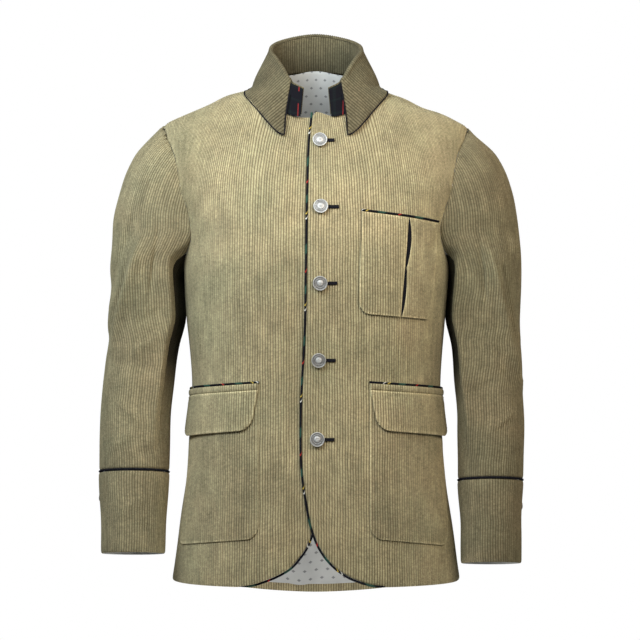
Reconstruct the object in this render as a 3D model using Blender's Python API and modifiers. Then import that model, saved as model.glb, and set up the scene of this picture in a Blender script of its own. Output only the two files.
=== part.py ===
"""Alpine jacket: a lined corduroy jacket, hollow as worn, in the pieces that a tailor cuts and sews.

Sizes are in millimetres and are turned into metres where a mesh is made. The front faces -Y, the
wearer's left is +X, and the origin lies midway between the two points where the shoulder seams
meet the neck.
"""

import math
from collections import namedtuple
from functools import lru_cache

import bmesh
import bpy
import numpy as np
from mathutils import Vector

MM = 0.001
CLOTH = 2.2         # corduroy wall
THIN = 1.0          # lining, facings and buttonhole bindings
SEAM = 0.3          # gap where two pieces meet
REST = 0.9          # gap under a piece that lies on a panel
SIDE_Y = 8.0        # depth of the side seams and of the shoulder seams
UNDERARM = -275.0   # height of the lowest point of the armhole
TIP_X = 220.0       # outer end of the shoulder seam
TIP_Z = -68.0
RIGHT_RISE = 5.0    # how much higher the wearer's right shoulder sits between neck and tip
WIDEST = 1.25       # how much wider than its underarm a panel is cut at the shoulder, at most
NECK_X = 76.0       # half width of the neck at the shoulder seam
NECK_FRONT = -62.0  # height of the neckline at centre front and at centre back
NECK_BACK = 14.0
HEM_FRONT = -731.0
HEM_BACK = -764.0
LAP_STEP = 3.4      # how far the under front lies behind the upper one
PIPE = 1.6          # radius of the piping
EDGE_PIPE = 0.9     # radius of the fine piping under the collar
ARM_GAP = 1.2       # gap from a panel to the sleeve in its armhole
FORE_SEAM = math.radians(137)   # the two seams of a sleeve, counted from its outer line
HIND_SEAM = math.radians(125)
LEFT, RIGHT = 1, -1
FRONT, BACK = -1, 1

Ring = namedtuple("Ring", "z half_width front back power")
TORSO = [
    Ring(-770, 215, -142, 149, 2.3),
    Ring(-655, 199.5, -138, 141, 2.3),
    Ring(-555, 185.5, -133, 130, 2.3),
    Ring(-445, 181, -127, 121, 2.3),
    Ring(-345, 189, -135, 131, 2.35),
    Ring(-275, 193, -139, 142, 2.4),
    Ring(-240, 194, -136, 145, 2.4),
    Ring(-199, 206, -128, 145, 2.4),
    Ring(-164, 221, -117, 143, 2.4),
    Ring(-113, 227, -100, 135, 2.4),
    Ring(-68, 220, -84, 122, 2.35),
    Ring(-41, 152, -75, 108, 2.2),
    Ring(-31, 131, -72.5, 103, 2.15),
    Ring(-21, 105, -69.5, 98, 2.1),
    Ring(-10, 87, -66, 92, 2.05),
    Ring(0, 76, -62, 87, 2.0),
    Ring(16, 60, -56, 80, 2.0),
]
Hole = namedtuple("Hole", "z reach")
ARMHOLE = [
    Hole(-275, 0), Hole(-271, 26), Hole(-262, 43), Hole(-240, 66), Hole(-199, 75),
    Hole(-164, 72), Hole(-113, 57), Hole(-90, 41), Hole(-76, 24), Hole(-68, 0),
]
Edge = namedtuple("Edge", "z u")
FRONT_EDGE = {
    LEFT: [
        Edge(-731, 106), Edge(-728, 87), Edge(-721, 61), Edge(-708, 36), Edge(-693, 19),
        Edge(-678, 8), Edge(-650, -4), Edge(-607, -13), Edge(-572, -18), Edge(-522, -20),
        Edge(-438, -18), Edge(-391, -15), Edge(-254, -12), Edge(-165, -11), Edge(-86, -9),
        Edge(-60, -6),
    ],
    RIGHT: [
        Edge(-731, 116), Edge(-728, 98), Edge(-720, 71), Edge(-708, 45), Edge(-686, 22),
        Edge(-652, 5), Edge(-607, -8), Edge(-540, -14), Edge(-60, -14),
    ],
}
Arm = namedtuple("Arm", "z outer inner centre_y half_depth")
ARM = {
    LEFT: [
        Arm(-709, 296, 210, -46, 50), Arm(-653, 296, 210, -38, 52), Arm(-585, 300, 206, -26, 55),
        Arm(-500, 303, 206, -10, 59), Arm(-443, 301, 202, 0, 62), Arm(-391, 300, 198, 6, 64),
        Arm(-345, 301, 191, 8, 67), Arm(-275, 300, 194, 8, 71), Arm(-240, 298, 0, 8, 74),
        Arm(-199, 293, 0, 8, 77.5), Arm(-164, 286, 0, 8, 74.5), Arm(-128, 273, 0, 8, 66),
        Arm(-110, 262, 0, 8, 58), Arm(-93, 246, 0, 8, 46), Arm(-78, 231, 0, 8, 29),
        Arm(-71, 225, 0, 8, 16),
    ],
    RIGHT: [
        Arm(-695, 309, 219, -46, 50), Arm(-640, 310, 217, -38, 52), Arm(-573, 314, 213, -26, 55),
        Arm(-500, 314, 212, -10, 59), Arm(-443, 310, 207, 0, 62), Arm(-391, 305, 200, 6, 64),
        Arm(-345, 304, 191, 8, 67), Arm(-275, 301, 194, 8, 71), Arm(-240, 298, 0, 8, 74),
        Arm(-199, 295, 0, 8, 77.5), Arm(-164, 286, 0, 8, 74.5), Arm(-128, 273, 0, 8, 66),
        Arm(-110, 263, 0, 8, 58), Arm(-93, 248, 0, 8, 46), Arm(-78, 234, 0, 8, 29),
        Arm(-71, 227, 0, 8, 16),
    ],
}
CAP_TOP = -71.5
UNDER_ROWS, CAP_ROWS = 12, 8        # rows of a sleeve below and in its cap
ELBOW = -443.0
CUFF_SEAM = {LEFT: -585.0, RIGHT: -573.0}
CUFF_END = {LEFT: -704.0, RIGHT: -690.0}
CUFF_TILT = 0.12     # how much the front of a cuff lies higher than its middle
Station = namedtuple("Station", "z base_x base_y base_z roll_x roll_y roll_z edge_x edge_y edge_z")
COLLAR = [          # z counts from the front end of the collar, 0, to centre back, 1
    Station(0.00, 21, -82, -59, 18, -68, -17, 32, -96, -82),
    Station(0.10, 33, -80, -57, 35, -60, -8, 46, -95, -87),
    Station(0.28, 56, -68, -40, 49, -39, 13, 79, -75, -57),
    Station(0.38, 67, -37, -18, 58, -17, 28, 97, -34, -38),
    Station(0.50, 74, 8, 4, 66, 10, 41, 103, 10, -21),
    Station(0.74, 53, 60, 10, 54, 61, 59, 81, 84, -10),
    Station(1.00, 0, 81, 17, 0, 88, 71.5, 0, 110, 0),
]
FALL_COLUMNS = 24
FALL_START = 0.1    # the fall ends short of the front ends of the stand
ROLL = [(-3.4, -1.5), (-2.6, 1.0), (0.0, 2.2), (3.0, 0.6), (4.4, -5.0)]   # out and up, over the roll
Fold = namedtuple("Fold", "x0 z0 x1 z1 spread rise face")
FOLDS = [           # the largest folds of the sleeves, as lines seen from the front or the back
    Fold(-246, -225, -296, -370, 15, 5.0, FRONT),
    Fold(-268, -215, -312, -330, 14, -6.0, FRONT),
    Fold(262, -265, 292, -420, 15, 4.5, FRONT),
    Fold(285, -240, 304, -380, 14, -5.5, FRONT),
    Fold(-235, -300, -300, -420, 20, 4.5, BACK),
    Fold(240, -290, 295, -430, 20, 4.5, BACK),
]
Button = namedtuple("Button", "u z hole_end")
BUTTONS = [
    Button(6.5, -97, 30), Button(7, -193, 33), Button(6, -301, 30),
    Button(4, -410, 28), Button(2, -522, 26),
]
BUTTON_RADIUS = 10.5
CUFF_BUTTON_RADIUS = 6.0
HOLE_HEIGHT = 4.6
HIP_TOP = -441.0        # hip pocket: piping, welt, flap and bag, down the front
HIP_SLOPE = 12.0        # how much lower it lies at the side seam
HIP_WELT = 11.0
HIP_BOTTOM = -664.0
HIP_INNER = {LEFT: 77.0, RIGHT: 82.0}
HIP_CORNER = 20.0
HIP_DRAW = {LEFT: 56.0, RIGHT: 34.0}    # how far the bag's outer edge draws away from the side seam at its foot
FLAP_DROP = 59.0
FLAP_FLARE = 5.0        # how far the outer corner of the flap stands off
CHEST_TOP = -200.0      # chest pocket: two halves with a pleat between them
CHEST_SLOPE = 14.0
CHEST_BOTTOM = -344.0
CHEST_INNER = 66.0
CHEST_OUTER = 196.0
CHEST_TAPER = 13.0      # how far the lower ends of its lines lie nearer to the middle
CHEST_SLIT = 136.0
SLIT_WIDTH = 5.0
CHEST_CORNER = 18.0

COLOURS = {
    "corduroy": (0.29, 0.25, 0.14, 1.0),
    "tartan": (0.02, 0.025, 0.04, 1.0),
    "lining": (0.55, 0.55, 0.52, 1.0),
    "metal": (0.6, 0.6, 0.6, 1.0),
}


def clear_scene():
    """Take everything out of the scene."""
    for obj in list(bpy.data.objects):
        bpy.data.objects.remove(obj, do_unlink=True)


def make_materials():
    """One plain material for each stuff."""
    for name, colour in COLOURS.items():
        made = bpy.data.materials.new(name)
        made.use_nodes = True
        shader = made.node_tree.nodes["Principled BSDF"]
        shader.inputs["Base Color"].default_value = colour
        shader.inputs["Roughness"].default_value = 0.3 if name == "metal" else 0.85
        shader.inputs["Metallic"].default_value = 1.0 if name == "metal" else 0.0
        STUFFS[name] = made


def smooth(rows, column):
    """A smooth curve through one column of a table, as a function of its z column."""
    z = np.array([row.z for row in rows], float)
    value = np.array([getattr(row, column) for row in rows], float)
    step = np.diff(z)
    slope = np.diff(value) / step
    inner = (slope[:-1] * step[1:] + slope[1:] * step[:-1]) / (step[:-1] + step[1:])
    inner = np.where(slope[:-1] * slope[1:] <= 0, 0, inner)
    limit = 3 * np.minimum(np.abs(slope[:-1]), np.abs(slope[1:]))
    tangent = np.concatenate([slope[:1], np.clip(inner, -limit, limit), slope[-1:]])

    def at(height):
        height = min(max(height, z[0]), z[-1])
        i = min(int(np.searchsorted(z, height, side="right")) - 1, len(step) - 1)
        f = (height - z[i]) / step[i]
        ends = value[i] * (1 + 2 * f) * (1 - f) ** 2 + value[i + 1] * f * f * (3 - 2 * f)
        bends = tangent[i] * f * (1 - f) ** 2 - tangent[i + 1] * f * f * (1 - f)
        return float(ends + bends * step[i])

    return at


def ease(f):
    """0 to 1 with level ends."""
    f = min(max(f, 0.0), 1.0)
    return f * f * (3 - 2 * f)


half_width = smooth(TORSO, "half_width")
front_y = smooth(TORSO, "front")
back_y = smooth(TORSO, "back")
power = smooth(TORSO, "power")
reach = smooth(ARMHOLE, "reach")
edge_u = {side: smooth(rows, "u") for side, rows in FRONT_EDGE.items()}
arm = {side: {column: smooth(rows, column) for column in Arm._fields[1:]} for side, rows in ARM.items()}
WHOLE_COLLAR = COLLAR + [
    row._replace(z=2 - row.z, base_x=-row.base_x, roll_x=-row.roll_x, edge_x=-row.edge_x)
    for row in reversed(COLLAR[:-1])
]
collar = {column: smooth(WHOLE_COLLAR, column) for column in Station._fields[1:]}
STUFFS = {}
PARTS = bpy.data.collections.new("alpine_jacket")
BODY_ROWS = np.concatenate([np.linspace(0, 1, 18), 1 + np.linspace(0, 1, 10)[1:] ** 1.4])


def depth(z, face):
    """How far the front or the back of the body stands from the side seams."""
    return SIDE_Y - front_y(z) if face == FRONT else back_y(z) - SIDE_Y


def bow(ratio, z):
    """The rounded outline of a body section: 1 in its middle, 0 at its side."""
    return max(1 - abs(ratio) ** power(z), 0.0) ** (1 / power(z))


@lru_cache(maxsize=None)
def quarter(z, face):
    """A body section from the middle of a face to the side: x, y and the way along it."""
    q = np.linspace(0, math.pi / 2, 90)
    x = half_width(z) * np.sin(q) ** (2 / power(z))
    y = SIDE_Y + face * depth(z, face) * np.abs(np.cos(q)) ** (2 / power(z))
    way = np.concatenate([[0], np.cumsum(np.hypot(np.diff(x), np.diff(y)))])
    return x, y, way


SHOULDER_Z = np.linspace(0, TIP_Z, 800)
SHOULDER_X = np.array([half_width(z) for z in SHOULDER_Z])


def top_z(x, face):
    """Height of the upper edge of a panel: the neckline, then the shoulder seam."""
    if x < NECK_X and face == FRONT:
        return NECK_FRONT * (1 - (x / NECK_X) ** 4)
    if x < NECK_X:
        return NECK_BACK * (1 - (x / NECK_X) ** 2)
    return float(np.interp(x, SHOULDER_X, SHOULDER_Z))


def panel_end(z, face):
    """The way along a section from the middle to the side seam."""
    return float(quarter(min(z, UNDERARM), face)[2][-1])


def torso_point(u, z, face):
    """The point of the body at the distance u along it from the middle of a face, at height z."""
    xs, ys, way = quarter(min(z, UNDERARM), face)
    x = float(np.interp(abs(u), way, xs))
    y = float(np.interp(abs(u), way, ys))
    if z > UNDERARM:
        shoulder_x = TIP_X * abs(u) / way[-1]
        rise = (z - UNDERARM) / (top_z(shoulder_x, face) - UNDERARM)
        x += (shoulder_x - x) * min(rise, 1.0) ** 3
        y = SIDE_Y + face * depth(z, face) * bow(x / half_width(z), z)
    rise = RIGHT_RISE * ease((z + 115) / 70) if u < 0 and 75 < x < 215 else 0.0
    return Vector((math.copysign(x, u), y, z + rise * math.sin(math.pi * (x - 75) / 140) ** 2))


def torso_out(u, z, face):
    """The direction straight out of the body."""
    end = panel_end(z, face) * (WIDEST if z > UNDERARM else 1.0)
    along = torso_point(min(u + 1, end), z, face) - torso_point(max(u - 1, -end), z, face)
    up = torso_point(u, z + 1, face) - torso_point(u, z - 1, face)
    return -face * along.cross(up).normalized()


def on_torso(u, z, face, lift):
    """A point at the height lift over the body."""
    return torso_point(u, z, face) + torso_out(u, z, face) * float(lift)


def hem_z(u, face):
    """Height of the hem: level in front, lower towards centre back."""
    if face == FRONT:
        return HEM_FRONT
    share = min(abs(u) / panel_end(HEM_BACK, BACK), 1.0)
    return HEM_FRONT + (HEM_BACK - HEM_FRONT) * math.cos(share * math.pi / 2) ** 1.5


def row_z(u, t, face):
    """Height of row t: 0 at the hem, 1 at the underarm, 2 at the upper edge."""
    if t <= 1:
        low = hem_z(u, face)
        return low + (UNDERARM - low) * t ** 1.7
    top = top_z(TIP_X * abs(u) / panel_end(UNDERARM, face), face)
    return UNDERARM + (top - UNDERARM) * (1 - (2 - t) ** 1.8)


def row_end(t, face):
    """Where row t ends: at the side seam, or on the armhole above it."""
    end = panel_end(row_z(2 * TIP_X, t, face) if t <= 1 else UNDERARM, face)
    if t <= 1 or t == 2:
        return end
    low, high = 0.3 * end, WIDEST * end
    for _ in range(40):
        middle = (low + high) / 2
        z = row_z(middle, t, face)
        if abs(torso_point(middle, z, face).y - SIDE_Y) > reach(z):
            low = middle
        else:
            high = middle
    return low


def shoulder_gap(t, face):
    """What keeps the last row of a front and of the back apart in the shoulder seam."""
    return Vector((0, face * 2 * SEAM if t == 2 else 0, 0))


def under_lap(u):
    """How far the under front is set back towards its edge."""
    return LAP_STEP * ease((48 - u) / 22)


def front_place(side):
    """Where the points of a front lie: s from its edge to the side, t from hem to shoulder."""
    def place(s, t):
        t = BODY_ROWS[round(t * (len(BODY_ROWS) - 1))]
        start = edge_u[side](row_z(0, t, FRONT))
        end = row_end(t, FRONT) - (SEAM if t <= 1 else ARM_GAP)
        u = start + s * (end - start)
        lift = -under_lap(u) if side == RIGHT else 0.0
        return on_torso(side * u, row_z(u, t, FRONT), FRONT, lift) + shoulder_gap(t, FRONT)
    return place


def back_place(rows, lift, inset):
    """Where the points of the back lie, or of its lining, which hangs freer under the armholes."""
    def place(s, t):
        t = rows[round(t * (len(rows) - 1))]
        end = row_end(t, BACK) - (SEAM if t <= 1 else ARM_GAP) - inset
        u = (2 * s - 1) * end
        free = inset / 4 * ease(2 * abs(2 * s - 1) - 1) * ease(1.2 - abs(t - 1.03) / 0.2)
        return on_torso(u, row_z(u, t, BACK), BACK, lift - free) + shoulder_gap(t, BACK)
    return place


def hole_x(z, face):
    """Where the armhole lies at height z."""
    return half_width(z) * bow(reach(z) / depth(z, face), z)


def sleeve_ring(side, z):
    """A sleeve section: its middle, half width, half depth, lean and the angle where it ends."""
    outer, deep = arm[side]["outer"](z), arm[side]["half_depth"](z)
    if z <= UNDERARM:
        inner = arm[side]["inner"](z)
        return (outer + inner) / 2, (outer - inner) / 2, deep, 0.0, math.pi
    hole = max(reach(z), 0.1)
    deep = max(deep, 1.02 * hole)
    front, back = hole_x(z, FRONT), hole_x(z, BACK)
    end = math.pi - math.asin(hole / deep)
    wide = (outer - (front + back) / 2) / (1 - math.cos(end))
    return outer - wide, wide, deep, (back - front) / (2 * hole), end


def fold_rise(x, z, facing):
    """How far the largest folds move the cloth out."""
    total = 0.0
    for fold in FOLDS:
        start, way = Vector((fold.x0, fold.z0)), Vector((fold.x1 - fold.x0, fold.z1 - fold.z0))
        at = Vector((x, z)) - start
        share = min(max(at.dot(way) / way.length_squared, 0.0), 1.0)
        gap = (at - share * way).length / fold.spread
        total += fold.rise * math.exp(-gap * gap) * ease(0.55 + fold.face * facing)
    return total


def sleeve_point(side, angle, z, lift=0.0):
    """The point of a sleeve at an angle from its outer line, counted towards the front."""
    middle, wide, deep, lean, _ = sleeve_ring(side, z)
    y = -deep * math.sin(angle)
    x = middle + wide * math.cos(angle) + lean * y
    lift += fold_rise(side * x, z, -math.sin(angle))
    x += lift * math.cos(angle)
    tilt = CUFF_TILT * ease((ELBOW - z) / 130)
    y_out = y - lift * math.sin(angle)
    return Vector((side * x, arm[side]["centre_y"](z) + y_out, z - tilt * y))


def top_sleeve_place(side):
    """Where the points of the upper sleeve piece lie: s from hind to fore seam, t up to the cap."""
    low, split = CUFF_SEAM[side] + PIPE + SEAM, under_sleeve_top(side, FORE_SEAM) - 1.2
    cap = split + (CAP_TOP - split) * (1 - np.linspace(1, 0, CAP_ROWS + 1)[1:] ** 1.6)
    heights = np.concatenate([np.linspace(low, split, UNDER_ROWS + 1), cap])

    def place(s, t):
        z = heights[round(t * (UNDER_ROWS + CAP_ROWS))]
        end = sleeve_ring(side, z)[4]
        gap = 1.2 / sleeve_ring(side, z)[2]
        hind, fore = -min(HIND_SEAM, end) + gap, min(FORE_SEAM, end) - gap
        return sleeve_point(side, hind + s * (fore - hind), z)
    return place


def under_sleeve_top(side, angle):
    """Height at which the under sleeve meets the armhole."""
    angle = min(angle, 2 * math.pi - angle)
    low, high = UNDERARM, -205.0
    for _ in range(40):
        middle = (low + high) / 2
        if sleeve_ring(side, middle)[4] > angle:
            low = middle
        else:
            high = middle
    return low


def under_sleeve_place(side):
    """Where the points of the lower sleeve piece lie: s from fore to hind seam."""
    low = CUFF_SEAM[side] + PIPE + SEAM

    def place(s, t):
        start, end = FORE_SEAM + 0.8 / 70, 2 * math.pi - HIND_SEAM - 2 / 70
        angle = start + s * (end - start)
        top = under_sleeve_top(side, angle) - 1.2
        return sleeve_point(side, angle, low + (top - low) * t)
    return place


def cuff_place(side):
    """Where the points of a cuff lie, once round."""
    def place(s, t):
        top = CUFF_SEAM[side] - PIPE - SEAM
        return sleeve_point(side, 2 * math.pi * s, CUFF_END[side] + (top - CUFF_END[side]) * t, 0.6)
    return place


def collar_at(line, c):
    """A point on the base, roll or edge line of the collar."""
    return Vector([collar[line + axis](c) for axis in ("_x", "_y", "_z")])


def collar_out(c):
    """The level direction straight out of the collar."""
    along = collar_at("roll", min(c + 0.02, 2)) - collar_at("roll", max(c - 0.02, 0))
    return Vector((along.y, -along.x, 0)).normalized()


def body_level(point):
    """1 on the body, less inside it, more outside it."""
    z, bend = point.z, power(point.z)
    wide = abs(point.x / half_width(z)) ** bend
    deep = abs((point.y - SIDE_Y) / depth(z, FRONT if point.y < SIDE_Y else BACK)) ** bend
    return (wide + deep) ** (1 / bend)


def off_body(point, gap):
    """The point, moved straight out where it is nearer to the body than the gap."""
    for _ in range(3):
        steps = [Vector((1, 0, 0)), Vector((0, 1, 0)), Vector((0, 0, 1))]
        rise = Vector([body_level(point + step) - body_level(point - step) for step in steps]) / 2
        short = gap - (body_level(point) - 1) / rise.length
        if short > 0:
            point = point + rise.normalized() * short
    return point


def stand_place(s, t):
    """Where the points of the collar stand lie: s from left to right front end, t up to the roll."""
    c = 2 * s
    top = collar_at("roll", c) - 1.2 * collar_out(c) - Vector((0, 0, 2.3))
    base = collar_at("base", c)
    return base + (top - base) * t


def fall_point(c, v):
    """A point of the collar fall, v from 0 over the roll to 1 at its edge."""
    roll, out = collar_at("roll", c), collar_out(c)
    turn = 0.3
    if v <= turn:
        at = v / turn * (len(ROLL) - 1)
        i = min(int(at), len(ROLL) - 2)
        mix = [a + (b - a) * (at - i) for a, b in zip(ROLL[i], ROLL[i + 1])]
        return roll + mix[0] * out + Vector((0, 0, mix[1]))
    start = roll + ROLL[-1][0] * out + Vector((0, 0, ROLL[-1][1]))
    share = (v - turn) / (1 - turn)
    point = start + (collar_at("edge", c) - start) * share - 3.0 * math.sin(math.pi * share) * out
    return off_body(point, CLOTH + 3.0)


def fall_place(s, t):
    """Where the points of the collar fall lie: s from right to left front end, t up to the roll."""
    return fall_point(2 - FALL_START - s * (2 - 2 * FALL_START), 1 - t)


def fall_edge():
    """The line round the collar fall for its piping: down one end, round the edge, up the other."""
    ends = [fall_point(FALL_START, v) + Vector((-1.5, 0, 0)) for v in np.linspace(0.45, 0.9, 4)]
    line = []
    for c in np.linspace(FALL_START, 2 - FALL_START, FALL_COLUMNS + 1):
        way = (fall_point(c, 1) - fall_point(c, 0.9)).normalized()
        along = fall_point(min(c + 0.05, 2), 1) - fall_point(max(c - 0.05, 0), 1)
        line.append(fall_point(c, 1) + way * (EDGE_PIPE + 0.5) + along.cross(way).normalized() * CLOTH / 2)
    line[0].x -= 1.2
    line[-1].x += 1.2
    other = [Vector((-p.x, p.y, p.z)) for p in reversed(ends)]
    return ends + line + other


def facing_place(side):
    """Where the points of the dark facing on an end of the stand lie."""
    def place(s, t):
        c = 0.166 * s
        point = stand_place(c / 2, 0.04 + 0.92 * t) + (REST + 1.4) * collar_out(c)
        return Vector((side * point.x, point.y, point.z))
    return place


def rounded(t, height, corner):
    """How far a rounded lower corner draws in the side of a pocket at the share t of its height."""
    up = min(t * height, corner)
    return corner - math.sqrt(corner * corner - (corner - up) ** 2)


def hip_place(side, top, bottom, lift, inner_taper, flare):
    """Where the points of a hip pocket piece lie: s from its inner edge to the side."""
    def place(s, t):
        t = t ** 1.5
        z0 = bottom + (top - bottom) * t
        inset = rounded(t, top - bottom, HIP_CORNER)
        start = HIP_INNER[side] + inset + inner_taper * (1 - t)
        end = panel_end(z0, FRONT) - 6 - (0.4 * inset if flare else inset + HIP_DRAW[side] * (1 - t))
        u = start + s * (end - start)
        off = lift + flare * (1 - t) * (0.35 + 0.65 * s ** 3)
        return on_torso(side * u, z0 - HIP_SLOPE * s, FRONT, off)
    return place


def welt_place(side, lift):
    """Where the points of the welt between piping and flap lie."""
    def place(s, t):
        z = HIP_TOP - HIP_WELT + (HIP_WELT - PIPE - SEAM) * t
        end = panel_end(HIP_TOP, FRONT) - 6
        u = HIP_INNER[side] + s * (end - HIP_INNER[side])
        return on_torso(side * u, z - HIP_SLOPE * s, FRONT, lift)
    return place


def hip_line(side):
    """The line of the piping over a hip pocket."""
    line = []
    for s in np.linspace(0, 1, 13):
        u = HIP_INNER[side] - 1 + s * (panel_end(HIP_TOP, FRONT) - 4 - HIP_INNER[side])
        line.append(on_torso(side * u, HIP_TOP - HIP_SLOPE * s, FRONT, PIPE + REST))
    return line


def slit_u(t):
    """Where the pleat of the chest pocket lies at the share t of its height."""
    return CHEST_SLIT - CHEST_TAPER * (1 - t)


def chest_place(outer):
    """Where the points of one half of the chest pocket lie."""
    def place(s, t):
        t = t ** 1.4
        inset = rounded(t, CHEST_TOP - CHEST_BOTTOM, CHEST_CORNER)
        gap = 0.4 + SLIT_WIDTH / 2 * math.sin(math.pi * min(t + 0.05, 1.0))
        if outer:
            start, end = slit_u(t) + gap, CHEST_OUTER - 1.5 * CHEST_TAPER * (1 - t) - inset
        else:
            start, end = CHEST_INNER - 0.5 * CHEST_TAPER * (1 - t) + inset, slit_u(t) - gap
        u = start + s * (end - start)
        z = CHEST_BOTTOM + (CHEST_TOP - CHEST_BOTTOM) * t
        drop = CHEST_SLOPE * (0.55 + 0.45 * t) * (u - CHEST_INNER) / (CHEST_OUTER - CHEST_INNER)
        return on_torso(u, z - drop, FRONT, REST + THIN + REST + CLOTH)
    return place


def pleat_place(s, t):
    """Where the points of the underlay of the pleat lie."""
    u = slit_u(t) + (s - 0.5) * (SLIT_WIDTH + 10)
    z = CHEST_BOTTOM + 3 + (CHEST_TOP - CHEST_BOTTOM - 6) * t
    drop = CHEST_SLOPE * (0.55 + 0.45 * t) * (u - CHEST_INNER) / (CHEST_OUTER - CHEST_INNER)
    return on_torso(u, z - drop, FRONT, REST + THIN)


def chest_line():
    """The line of the piping over the chest pocket."""
    line = []
    for s in np.linspace(0, 1, 11):
        u = CHEST_INNER - 1 + s * (CHEST_OUTER - CHEST_INNER + 2)
        line.append(on_torso(u, CHEST_TOP + PIPE + 0.6 - CHEST_SLOPE * s, FRONT, PIPE + REST))
    return line


def edge_line(side):
    """The line of the piping just past the edge of a front."""
    line = []
    for t in BODY_ROWS:
        z = row_z(0, t, FRONT)
        u = edge_u[side](z)
        slope = edge_u[side](z + 0.5) - edge_u[side](z - 0.5)
        aside = Vector((-1, 0, slope)).normalized() * (PIPE + SEAM)
        lift = -CLOTH / 2 - (LAP_STEP + 0.4 if side == RIGHT else 0)
        line.append(on_torso(side * (u + aside.x), z + aside.z, FRONT, lift))
    return line


def hole_place(button):
    """Where the points of a bound buttonhole lie."""
    def place(s, t):
        u = button.u - 4 + s * (button.hole_end - button.u + 4)
        return on_torso(u, button.z + (t - 0.5) * HOLE_HEIGHT, FRONT, REST + THIN)
    return place


def add(name, mesh, stuff):
    """Put a mesh in the scene as one named piece."""
    obj = bpy.data.objects.new(name, mesh)
    obj.data.materials.append(STUFFS[stuff])
    PARTS.objects.link(obj)
    return obj


def sheet(name, rows, columns, place, stuff="corduroy", wall=CLOTH, flip=False, ring=False):
    """A cloth piece: a grid laid on the form, with a wall that grows inwards from it."""
    mesh = bpy.data.meshes.new(name)
    grid = bmesh.new()
    bmesh.ops.create_grid(grid, x_segments=columns, y_segments=rows, size=1.0)
    for vert in grid.verts:
        vert.co = place((vert.co.x + 1) / 2, (vert.co.y + 1) / 2) * MM
    if ring:
        bmesh.ops.remove_doubles(grid, verts=grid.verts, dist=1e-6)
    if flip:
        bmesh.ops.reverse_faces(grid, faces=grid.faces)
    grid.to_mesh(mesh)
    grid.free()
    obj = add(name, mesh, stuff)
    solid = obj.modifiers.new("Wall", "SOLIDIFY")
    solid.thickness = wall * MM
    solid.offset = -1.0
    return obj


def piping(name, line, radius=PIPE, ring=False):
    """A round piping along a line of points."""
    curve = bpy.data.curves.new(name, "CURVE")
    curve.dimensions = "3D"
    curve.bevel_depth = radius * MM
    curve.bevel_resolution = 1
    curve.use_fill_caps = True
    spline = curve.splines.new("POLY")
    spline.points.add(len(line) - 1)
    for point, at in zip(spline.points, line):
        point.co = (*(at * MM), 1.0)
    spline.use_cyclic_u = ring
    return add(name, curve, "tartan")


def button(name, at, out, radius, steps):
    """A domed metal button turned about its own axis."""
    profile = [(0, 0), (0.72, 0), (0.95, 0.1), (1, 0.22), (0.86, 0.34), (0.74, 0.28), (0, 0.36)]
    mesh = bpy.data.meshes.new(name)
    points = [(r * radius * MM, 0, h * radius * MM) for r, h in profile]
    mesh.from_pydata(points, [(i, i + 1) for i in range(len(points) - 1)], [])
    obj = add(name, mesh, "metal")
    screw = obj.modifiers.new("Turn", "SCREW")
    screw.steps = steps
    screw.render_steps = steps
    screw.use_merge_vertices = True
    screw.merge_threshold = 0.00001
    screw.use_normal_calculate = True
    obj.location = at * MM
    obj.rotation_euler = out.to_track_quat("Z", "Y").to_euler()
    return obj


def make_body():
    """The two fronts, the back and the lining that shows in it."""
    rows = len(BODY_ROWS) - 1
    sheet("front_left", rows, 14, front_place(LEFT))
    sheet("front_right", rows, 14, front_place(RIGHT), flip=True)
    sheet("back", rows, 22, back_place(BODY_ROWS, 0.0, 0.0), flip=True)
    lining = back_place(BODY_ROWS[1:-1], -CLOTH - 3.6, 16.0)
    sheet("lining_back", rows - 2, 11, lining, "lining", THIN, flip=True)
    piping("front_piping_left", edge_line(LEFT))
    piping("front_piping_right", edge_line(RIGHT))


def make_sleeves():
    """Each sleeve in two pieces with its cuff, the piping in the cuff seam and a small button."""
    for side, name in ((LEFT, "left"), (RIGHT, "right")):
        flip = side == LEFT
        sheet("sleeve_top_" + name, UNDER_ROWS + CAP_ROWS, 13, top_sleeve_place(side), flip=flip)
        sheet("sleeve_under_" + name, UNDER_ROWS, 6, under_sleeve_place(side), flip=flip)
        sheet("cuff_" + name, 3, 20, cuff_place(side), flip=flip, ring=True)
        angles = np.linspace(0, 2 * math.pi, 24, endpoint=False)
        ring = [sleeve_point(side, angle, CUFF_SEAM[side], -0.4) for angle in angles]
        piping("cuff_piping_" + name, ring, ring=True)
        angle, z = math.radians(-14), CUFF_SEAM[side] - 36
        out = Vector((side * math.cos(angle), -math.sin(angle), 0))
        at = sleeve_point(side, angle, z, 0.6) + 0.8 * out
        button("cuff_button_" + name, at, out, CUFF_BUTTON_RADIUS, 10)


def make_collar():
    """The stand, the fall that rolls over it, its fine piping and the dark facings."""
    sheet("collar_stand", 3, 24, stand_place)
    sheet("collar_fall", 9, FALL_COLUMNS, fall_place)
    piping("collar_piping", fall_edge(), EDGE_PIPE)
    sheet("collar_facing_left", 3, 2, facing_place(LEFT), "tartan", 0.8)
    sheet("collar_facing_right", 3, 2, facing_place(RIGHT), "tartan", 0.8, flip=True)


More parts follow.
